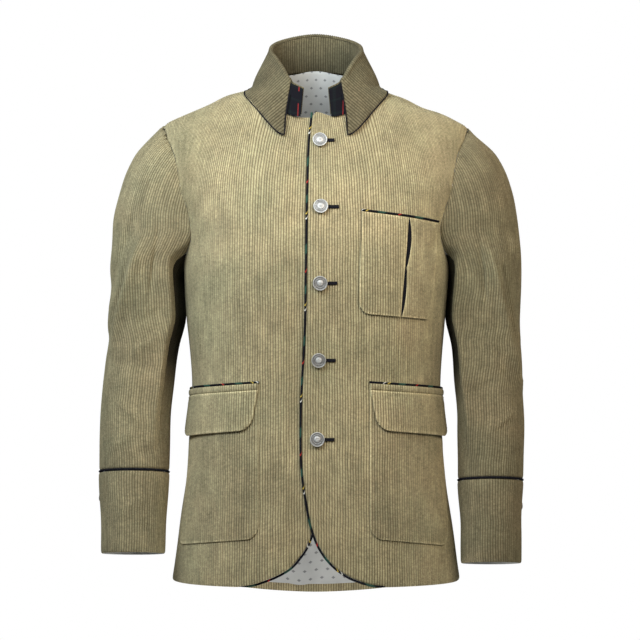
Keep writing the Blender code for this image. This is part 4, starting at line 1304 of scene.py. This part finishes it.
class Dye:
    """A material that is put together node by node."""

    def __init__(self, name, **finish):
        self.material = bpy.data.materials.new("jacket_" + name)
        self.material.use_nodes = True
        self.tree = self.material.node_tree
        self.shader = self.tree.nodes["Principled BSDF"]
        for socket, value in finish.items():
            label = socket.replace("_", " ").title().replace("Ior", "IOR")
            self.shader.inputs[label].default_value = value

    def feed(self, socket, value):
        """Link a value to a socket, or set it there."""
        if isinstance(value, bpy.types.NodeSocket):
            self.tree.links.new(value, socket)
        else:
            socket.default_value = value

    def add(self, kind, inputs, output=0, **settings):
        """A node with its inputs filled in; gives one of its outputs."""
        node = self.tree.nodes.new("ShaderNode" + kind)
        for key, value in settings.items():
            setattr(node, key, value)
        for key, value in inputs.items():
            self.feed(node.inputs[key], value)
        return node.outputs[output]

    def sum(self, operation, *values):
        """One step of arithmetic."""
        return self.add("Math", dict(enumerate(values)), operation=operation)

    def times(self, value, *others):
        """Values multiplied."""
        for other in others:
            value = self.sum("MULTIPLY", value, other)
        return value

    def apart(self, value, share):
        """How far a value lies from a share."""
        return self.sum("ABSOLUTE", self.sum("SUBTRACT", value, share))

    def repeat(self, value, length):
        """Where a value lies in its repeat, from 0 to 1."""
        return self.sum("FRACT", self.sum("DIVIDE", value, length))

    def noise(self, where, scale, detail=2.0, low=0.0, high=1.0):
        """Cloudy noise, spread to a range."""
        cloud = self.add("TexNoise", {"Vector": where, "Scale": scale, "Detail": detail, "Roughness": 0.55})
        return self.add("MapRange", {0: cloud, 1: 0.3, 2: 0.7, 3: low, 4: high})

    def mix(self, share, a, b, blend="MIX"):
        """Two colours mixed."""
        return self.add("Mix", {0: share, 6: a, 7: b}, output=2, data_type="RGBA", blend_type=blend)

    def shade(self, colour, strength):
        """A colour made lighter or darker."""
        grey = self.add("CombineColor", {0: strength, 1: strength, 2: strength})
        return self.mix(1.0, colour, grey, "MULTIPLY")

    def band(self, value, low, high):
        """0 below low, 1 above high."""
        return self.add("MapRange", {0: value, 1: low, 2: high}, interpolation_type="SMOOTHSTEP")

    def split(self, vector):
        """The three parts of a vector."""
        node = self.tree.nodes.new("ShaderNodeSeparateXYZ")
        self.feed(node.inputs[0], vector)
        return node.outputs[0], node.outputs[1], node.outputs[2]

    def map(self):
        """The two coordinates of the wale map."""
        return self.split(self.add("UVMap", {}, uv_map=WALE_MAP))[:2]

    def twill(self, vector, scale):
        """Fine slanting ridges."""
        return self.add("TexWave", {"Vector": vector, "Scale": scale}, wave_type="BANDS",
                        bands_direction="DIAGONAL")

    def place(self):
        """The place on the jacket."""
        return self.add("TexCoord", {}, output="Object")

    def vector(self, x, y, z=0.0):
        """A vector from its parts."""
        return self.add("CombineXYZ", {0: x, 1: y, 2: z})

    def bump(self, height, strength, distance):
        """Fine relief."""
        made = self.add("Bump", {"Height": height, "Strength": strength, "Distance": distance})
        self.feed(self.shader.inputs["Normal"], made)

    def colour(self, value):
        """The colour of the surface."""
        self.feed(self.shader.inputs["Base Color"], value)


def corduroy(name, nap, ribs):
    """Cotton pile: pale crests, dark grooves, streaks along the wales and mottled patches.

    The brightness makes a copy of the cloth lighter or darker, and ribs makes its grooves darker. A
    brightness below 1 is painted shade on both sleeves, the under sleeves, the stand and the chest pocket's
    outer half;
    the grooves' darkness is partly painted shade in them and partly the cloth's own ground.
    """
    looks = bpy.context.scene.jacket_colours
    dye = Dye(name, roughness=0.92, sheen_weight=0.22 * min(nap, 1.0), sheen_roughness=0.45,
              specular_ior_level=0.15)
    dye.shader.inputs["Sheen Tint"].default_value = (0.95, 0.88, 0.62, 1.0)
    across, along = dye.map()
    off_crest = dye.times(dye.apart(dye.sum("FRACT", across), 0.5), 2.0)
    where = dye.place()
    x, y, z = dye.split(where)
    # Darker grooves: partly the cloth's own ground, partly painted shade in them
    groove = dye.times(dye.band(off_crest, 0.36, 0.98), ribs)
    if name in SIDE_FADED:
        aside = dye.times(dye.band(dye.sum("ABSOLUTE", x), 0.09, 0.16), dye.band(z, -0.14, -0.24))
        groove = dye.times(groove, dye.sum("MULTIPLY_ADD", aside, -0.55, 1.0))
    warm = dye.mix(dye.noise(where, 11.0, 3.0), tuple(looks.crest), tuple(looks.crest_green))
    colour = dye.mix(groove, warm, tuple(looks.groove))
    # Random mottle of the pile, times the copy's brightness, which is painted shade on some pieces
    brushed_and_shaded = dye.noise(where, 34.0, 4.0, 0.86 * nap, 1.13 * nap)
    # Painted highlight along the stitched edges of pockets: up to half again as bright
    turned = dye.add("Attribute", {}, output="Fac", attribute_name=EDGE_HIGHLIGHT)
    patches_and_highlight = dye.times(dye.noise(where, 8.0, 2.0, 0.92, 1.08), dye.sum("MULTIPLY_ADD", turned, 0.5, 1.0))
    row = dye.sum("FLOOR", across)
    streak = dye.noise(dye.vector(dye.times(row, 0.73), dye.times(along, 0.06)), 1.0, 2.0, 0.82, 1.16)
    tufts = dye.vector(dye.times(across, 2.2), dye.times(along, 0.75))
    dash = dye.vector(dye.times(row, 3.7), dye.times(along, 0.9))
    pile = dye.times(dye.noise(tufts, 2.6, 4.0, 0.68, 1.26), dye.noise(dash, 1.0, 2.0, 0.8, 1.2))
    strength = dye.times(brushed_and_shaded, patches_and_highlight, streak, pile)
    if name == "stand corduroy":
        # Painted shade at the foot of the stand and painted light towards its roll: 0.6 at the base to 1.35
        # higher up
        strength = dye.times(strength, dye.add("MapRange", {0: along, 1: 0.0, 2: 13.0, 3: 0.6, 4: 1.35}))
    if name == "corduroy":
        # Painted shade on the sides of the body from under the arms down: up to 30% darker
        side_shade = dye.times(dye.band(y, -0.08, -0.045), dye.band(y, 0.06, 0.03), dye.band(z, -0.16, -0.26))
        strength = dye.times(strength, dye.sum("MULTIPLY_ADD", side_shade, -0.3, 1.0))
    if name == "under sleeve corduroy":
        # Painted shade: the front of the under sleeve goes nearly black high up between sleeve and body, and
        # is twice as bright elsewhere
        shaded = dye.times(dye.band(along, 26.0, 46.0), dye.band(across, 5.0, 1.0))
        strength = dye.times(strength, dye.sum("MULTIPLY_ADD", shaded, -1.75, 2.0))
    dye.colour(dye.shade(colour, strength))
    dye.bump(dye.noise(tufts, 4.4, 3.0), 0.5, 0.0008)
    return dye.material


def lining():
    """Smooth grey twill with staggered dark dots."""
    looks = bpy.context.scene.jacket_colours
    dye = Dye("lining", roughness=0.55, sheen_weight=0.1, specular_ior_level=0.3)
    across, along = dye.map()
    where = dye.place()
    row = dye.sum("FLOOR", dye.sum("DIVIDE", along, 3.4))
    x = dye.sum("ADD", dye.sum("DIVIDE", across, 4.6), dye.times(row, 0.5))
    x = dye.apart(dye.sum("FRACT", x), 0.5)
    y = dye.apart(dye.repeat(along, 3.4), 0.5)
    spot = dye.band(dye.sum("ADD", x, y), 0.2, 0.15)
    cloth = dye.shade(tuple(looks.lining), dye.noise(where, 18.0, 3.0, 0.82, 1.1))
    dye.colour(dye.mix(dye.times(spot, 0.7), cloth, tuple(looks.lining_dot)))
    dye.bump(dye.twill(dye.vector(across, along), 4.0), 0.12, 0.0002)
    return dye.material


def tartan():
    """Dark twill with faint green bands and a broken red line."""
    looks = bpy.context.scene.jacket_colours
    dye = Dye("tartan", roughness=0.95, specular_ior_level=0.04)
    across, along = dye.map()
    colour = tuple(looks.tartan)
    broken = dye.times(dye.band(dye.repeat(along, 11.6), 0.54, 0.48), 0.6)
    for line, where, width, share, thread in ((across, 0.2, 0.03, broken, looks.red),
                                              (across, 0.75, 0.1, 0.05, looks.green),
                                              (along, 0.25, 0.1, 0.05, looks.green)):
        near = dye.apart(dye.repeat(line, 5.8), where)
        colour = dye.mix(dye.times(dye.band(near, width, 0.6 * width), share), colour, tuple(thread))
    twill = dye.twill(dye.vector(across, along), 3.0)
    dye.colour(dye.shade(colour, dye.add("MapRange", {0: twill, 3: 0.75, 4: 1.1})))
    dye.bump(twill, 0.25, 0.0003)
    return dye.material


def binding():
    """Plain dark twill of the buttonholes, the pleat's underlay, and the piping of collar and cuffs."""
    looks = bpy.context.scene.jacket_colours
    dye = Dye("binding", roughness=0.95, specular_ior_level=0.06)
    across, along = dye.map()
    twill = dye.twill(dye.vector(across, along), 3.0)
    dye.colour(dye.shade(tuple(looks.tartan), dye.add("MapRange", {0: twill, 3: 0.8, 4: 1.6})))
    dye.bump(twill, 0.25, 0.0003)
    return dye.material


def piping_cloth():
    """Dark bias strip with the coloured threads of the tartan once in every repeat."""
    looks = bpy.context.scene.jacket_colours
    dye = Dye("piping", roughness=0.9, specular_ior_level=0.08)
    across, turn = dye.map()
    colour = tuple(looks.tartan)
    share = dye.sum("FRACT", across)
    for where, width, thread in ((0.080, 0.009, looks.white), (0.136, 0.009, looks.yellow),
                                 (0.30, 0.05, looks.green), (0.5, 0.012, looks.red),
                                 (0.74, 0.06, looks.green)):
        near = dye.apart(share, where)
        colour = dye.mix(dye.band(near, width, 0.7 * width), colour, tuple(thread))
    twill = dye.twill(dye.vector(dye.times(across, 60.0), turn), 2.0)
    dye.colour(dye.shade(colour, dye.add("MapRange", {0: twill, 3: 0.75, 4: 1.1})))
    dye.bump(twill, 0.3, 0.0002)
    return dye.material


def silver():
    """Worn silver plate, dark in its hollows."""
    looks = bpy.context.scene.jacket_colours
    dye = Dye("silver", roughness=0.32, metallic=1.0)
    axis, height = dye.map()
    where = dye.place()
    hollow = dye.times(dye.band(height, 0.27, 0.225), dye.band(axis, 0.93, 0.88), 0.6)
    colour = dye.mix(hollow, tuple(looks.silver), tuple(looks.tarnish))
    dye.colour(dye.shade(colour, dye.noise(where, 420.0, 3.0, 0.82, 1.08)))
    dye.feed(dye.shader.inputs["Roughness"], dye.noise(where, 600.0, 3.0, 0.48, 0.66))
    return dye.material


# How bright each copy of the corduroy is, and how dark its grooves. On both sleeves, the under sleeves, the
# stand and the chest pocket's outer half a brightness below 1 is painted shade; collar and bags are darker
# copies too.
Nap = namedtuple("Nap", "nap ribs")
TONES = {
    "corduroy": Nap(1.0, 1.0), "pocket corduroy": Nap(0.86, 0.6), "bag corduroy": Nap(0.87, 1.0),
    "right sleeve corduroy": Nap(0.73, 0.8), "left sleeve corduroy": Nap(0.55, 0.8),
    "under sleeve corduroy": Nap(0.3, 1.0), "collar corduroy": Nap(0.36, 0.9),
    "stand corduroy": Nap(0.27, 0.9),
}
SIDE_FADED = ("corduroy", "pocket corduroy", "bag corduroy")    # their painted groove shade shows less towards the sides, below the chest
DYES = {"lining": lining, "tartan": tartan, "binding": binding, "piping": piping_cloth, "silver": silver}


def stuff(name):
    """A material of the jacket, made when it is first asked for."""
    made = bpy.data.materials.get("jacket_" + name)
    if made:
        return made
    return corduroy(name, *TONES[name]) if name in TONES else DYES[name]()


def area_light(name, at, target, size, watts, colour):
    """A soft panel light that isn't seen itself."""
    data = bpy.data.lights.new(name, "AREA")
    data.shape = "RECTANGLE"
    data.size, data.size_y = size
    data.energy = watts
    data.color = colour
    light = bpy.data.objects.new(name, data)
    light.location = at
    light.visible_camera = False
    light.rotation_euler = (Vector(target) - Vector(at)).to_track_quat("-Z", "Y").to_euler()
    bpy.context.scene.collection.objects.link(light)


def make_stage():
    """Pale floor, white surroundings, soft lights on both sides and a camera straight in front."""
    stage = bpy.context.scene.jacket_stage
    bpy.ops.object.select_all(action="DESELECT")
    bpy.ops.mesh.primitive_plane_add(size=6.0, location=(0, 0, stage.floor))
    floor = bpy.context.object
    floor.name = "floor"
    floor.data.transform(Matrix.Translation((0, 0, stage.floor)))
    floor.location = (0, 0, 0)
    paint = Dye("floor", roughness=0.9)
    paint.colour(paint.shade((0.82, 0.82, 0.81, 1.0), paint.noise(paint.place(), 3.0, 2.0, 0.98, 1.02)))
    floor.data.materials.append(paint.material)

    world = bpy.data.worlds.new("studio")
    world.use_nodes = True
    sky = world.node_tree
    sky.nodes.clear()
    seen, lit = sky.nodes.new("ShaderNodeBackground"), sky.nodes.new("ShaderNodeBackground")
    seen.inputs[0].default_value = (1, 1, 1, 1)
    lit.inputs[0].default_value = (1, 1, 1, 1)
    lit.inputs[1].default_value = stage.ambient
    ray, either = sky.nodes.new("ShaderNodeLightPath"), sky.nodes.new("ShaderNodeMixShader")
    out = sky.nodes.new("ShaderNodeOutputWorld")
    sky.links.new(ray.outputs["Is Camera Ray"], either.inputs[0])
    sky.links.new(lit.outputs[0], either.inputs[1])
    sky.links.new(seen.outputs[0], either.inputs[2])
    sky.links.new(either.outputs[0], out.inputs[0])
    bpy.context.scene.world = world

    area_light("key", (-0.65, -0.85, 0.5), (-0.05, 0.0, 0.1), (0.9, 0.7), stage.key, (0.85, 0.94, 1.0))
    area_light("side", (0.7, -0.9, 0.32), (0.05, 0.0, -0.05), (0.8, 0.7), stage.side, (1.0, 0.91, 0.79))
    area_light("fill", (0.1, -3.0, 0.2), (0.0, 0.0, -0.4), (1.2, 1.2), stage.fill, (1.0, 0.98, 0.95))
    area_light("under", (0.0, -0.04, -1.15), (0.0, 0.11, -0.7), (0.3, 0.2), stage.under, (1.0, 1.0, 1.0))
    area_light("back", (0.25, 2.6, -0.1), (0.0, 0.0, -0.4), (1.6, 1.6), stage.back, (1.0, 0.98, 0.95))

    lens = bpy.data.cameras.new("camera")
    lens.lens, lens.sensor_width = 154.1, 36.0
    camera = bpy.data.objects.new("camera", lens)
    camera.location = (0.0058, -4.0, -0.353)
    camera.rotation_euler = (math.pi / 2, 0, 0)
    bpy.context.scene.collection.objects.link(camera)
    bpy.context.scene.camera = camera
    bpy.context.scene.view_settings.view_transform = "Standard"
    bpy.context.scene.view_settings.look = "None"


def tint(name, description, *default):
    """A colour that the user may change."""
    return FloatVectorProperty(name=name, description=description, size=4, subtype="COLOR", min=0, max=1,
                               default=(*default, 1.0))


def light_power(name, description, default):
    """The power of a light, which the user may change."""
    return FloatProperty(name=name, description=description, default=default, min=0.0, unit="POWER")


class JacketCloth(bpy.types.PropertyGroup):
    """Sizes of the cloth."""
    wale: FloatProperty(name="Wale", description="Width of one rib of the corduroy", default=0.0038,
                        min=0.002, max=0.008, unit="LENGTH", precision=4)
    rib: FloatProperty(name="Rib", description="Height of a rib over its grooves", default=0.0009, min=0.0,
                       max=0.002, unit="LENGTH", precision=4)
    crease: FloatProperty(name="Creases", description="Depth of the creases, 1 for those of the jacket shown",
                          default=1.0, min=0.0, max=1.5, subtype="FACTOR")
    tartan_repeat: FloatProperty(name="Tartan repeat", description="Length of one repeat in the piping",
                                 default=0.13, min=0.05, max=0.4, unit="LENGTH")


class JacketColours(bpy.types.PropertyGroup):
    """Colours of the cloth and the metal."""
    crest: tint("Crest", "Corduroy on the ribs, where it is warm", 0.455, 0.37, 0.215)
    crest_green: tint("Crest, cool", "Corduroy on the ribs, where it is greener", 0.39, 0.35, 0.205)
    # The groove colour is partly painted shade in the grooves
    groove: tint("Groove", "Corduroy between the ribs", 0.165, 0.132, 0.068)
    lining: tint("Lining", "Ground of the lining", 0.54, 0.54, 0.52)
    lining_dot: tint("Lining dots", "Dots of the lining", 0.10, 0.10, 0.11)
    tartan: tint("Tartan", "Ground of the tartan", 0.009, 0.0088, 0.0115)
    red: tint("Red thread", "Red of the tartan", 0.42, 0.035, 0.03)
    green: tint("Green thread", "Green of the tartan", 0.03, 0.075, 0.055)
    yellow: tint("Yellow thread", "Yellow of the tartan", 0.62, 0.45, 0.09)
    white: tint("White thread", "White of the tartan", 0.72, 0.70, 0.64)
    silver: tint("Silver", "Metal of the buttons", 0.64, 0.63, 0.61)
    tarnish: tint("Tarnish", "Hollows of the buttons", 0.14, 0.135, 0.13)


class JacketStage(bpy.types.PropertyGroup):
    """Studio round the jacket."""
    floor: FloatProperty(name="Floor", description="Height of the floor under a wearer's feet", default=-1.42,
                         unit="LENGTH")
    key: light_power("Key", "Power of the light on the jacket's right", 26.0)
    side: light_power("Side", "Power of the light on the jacket's left", 13.4)
    fill: light_power("Fill", "Power of the far light in front", 1.0)
    under: light_power("Under", "Power of the light that comes up from the floor into the jacket", 2.0)
    back: light_power("Back", "Power of the light behind the jacket", 55.0)
    ambient: FloatProperty(name="Ambient", description="Light from all round", default=0.025, min=0.0)


class JACKET_OT_back(bpy.types.Operator):
    """Lay out the back"""
    bl_idname = "jacket.back"
    bl_label = "Back"

    def execute(self, context):
        make_back()
        return {"FINISHED"}


class JACKET_OT_fronts(bpy.types.Operator):
    """Lay out the two fronts"""
    bl_idname = "jacket.fronts"
    bl_label = "Fronts"

    def execute(self, context):
        make_fronts()
        return {"FINISHED"}


class JACKET_OT_lining(bpy.types.Operator):
    """Hang the lining in the back"""
    bl_idname = "jacket.lining"
    bl_label = "Lining"

    def execute(self, context):
        make_lining()
        return {"FINISHED"}


class JACKET_OT_sleeves(bpy.types.Operator):
    """Set in the two sleeves"""
    bl_idname = "jacket.sleeves"
    bl_label = "Sleeves"

    def execute(self, context):
        make_sleeves()
        return {"FINISHED"}


class JACKET_OT_cuffs(bpy.types.Operator):
    """Sew on the two cuffs"""
    bl_idname = "jacket.cuffs"
    bl_label = "Cuffs"

    def execute(self, context):
        make_cuffs()
        return {"FINISHED"}


class JACKET_OT_collar(bpy.types.Operator):
    """Make the collar's stand, fall and facings"""
    bl_idname = "jacket.collar"
    bl_label = "Collar"

    def execute(self, context):
        make_collar()
        return {"FINISHED"}


class JACKET_OT_hip_pockets(bpy.types.Operator):
    """Sew on the two hip pockets"""
    bl_idname = "jacket.hip_pockets"
    bl_label = "Hip pockets"

    def execute(self, context):
        make_hip_pockets()
        return {"FINISHED"}


class JACKET_OT_chest_pocket(bpy.types.Operator):
    """Sew on the pleated chest pocket"""
    bl_idname = "jacket.chest_pocket"
    bl_label = "Chest pocket"

    def execute(self, context):
        make_chest_pocket()
        return {"FINISHED"}


class JACKET_OT_piping(bpy.types.Operator):
    """Run the tartan piping along the edges"""
    bl_idname = "jacket.piping"
    bl_label = "Piping"

    def execute(self, context):
        make_piping()
        return {"FINISHED"}


class JACKET_OT_buttonholes(bpy.types.Operator):
    """Bind the buttonholes"""
    bl_idname = "jacket.buttonholes"
    bl_label = "Buttonholes"

    def execute(self, context):
        make_buttonholes()
        return {"FINISHED"}


class JACKET_OT_buttons(bpy.types.Operator):
    """Model one button and sew on its copies"""
    bl_idname = "jacket.buttons"
    bl_label = "Buttons"

    def execute(self, context):
        make_buttons()
        return {"FINISHED"}


class JACKET_OT_stage(bpy.types.Operator):
    """Set up floor, lights and camera"""
    bl_idname = "jacket.stage"
    bl_label = "Stage"

    def execute(self, context):
        make_stage()
        return {"FINISHED"}


STEPS = (JACKET_OT_stage, JACKET_OT_back, JACKET_OT_fronts, JACKET_OT_lining, JACKET_OT_sleeves,
         JACKET_OT_cuffs, JACKET_OT_collar, JACKET_OT_hip_pockets, JACKET_OT_chest_pocket, JACKET_OT_piping,
         JACKET_OT_buttonholes, JACKET_OT_buttons)


class JACKET_PT_panel(bpy.types.Panel):
    """Sizes, colours and steps of the jacket"""
    bl_idname = "JACKET_PT_panel"
    bl_label = "Corduroy jacket"
    bl_space_type = "VIEW_3D"
    bl_region_type = "UI"
    bl_category = "Jacket"

    def draw(self, context):
        scene = context.scene
        for settings in (scene.jacket_cloth, scene.jacket_colours, scene.jacket_stage):
            for name in settings.bl_rna.properties.keys():
                if name not in ("rna_type", "name"):
                    self.layout.prop(settings, name)
        for step in STEPS:
            self.layout.operator(step.bl_idname)


CLASSES = (JacketCloth, JacketColours, JacketStage, *STEPS, JACKET_PT_panel)


def register():
    """Make the settings, steps and panel known to Blender."""
    for kind in CLASSES:
        bpy.utils.register_class(kind)
    bpy.types.Scene.jacket_cloth = PointerProperty(type=JacketCloth)
    bpy.types.Scene.jacket_colours = PointerProperty(type=JacketColours)
    bpy.types.Scene.jacket_stage = PointerProperty(type=JacketStage)


def unregister():
    """Take them out again."""
    del bpy.types.Scene.jacket_stage
    del bpy.types.Scene.jacket_colours
    del bpy.types.Scene.jacket_cloth
    for kind in reversed(CLASSES):
        bpy.utils.unregister_class(kind)


def main():
    """Dress the jacket step by step."""
    register()
    bpy.ops.jacket.stage()
    bpy.ops.jacket.back()
    bpy.ops.jacket.fronts()
    bpy.ops.jacket.lining()
    bpy.ops.jacket.sleeves()
    bpy.ops.jacket.cuffs()
    bpy.ops.jacket.collar()
    bpy.ops.jacket.hip_pockets()
    bpy.ops.jacket.chest_pocket()
    bpy.ops.jacket.piping()
    bpy.ops.jacket.buttonholes()
    bpy.ops.jacket.buttons()


if __name__ == "__main__":
    main()
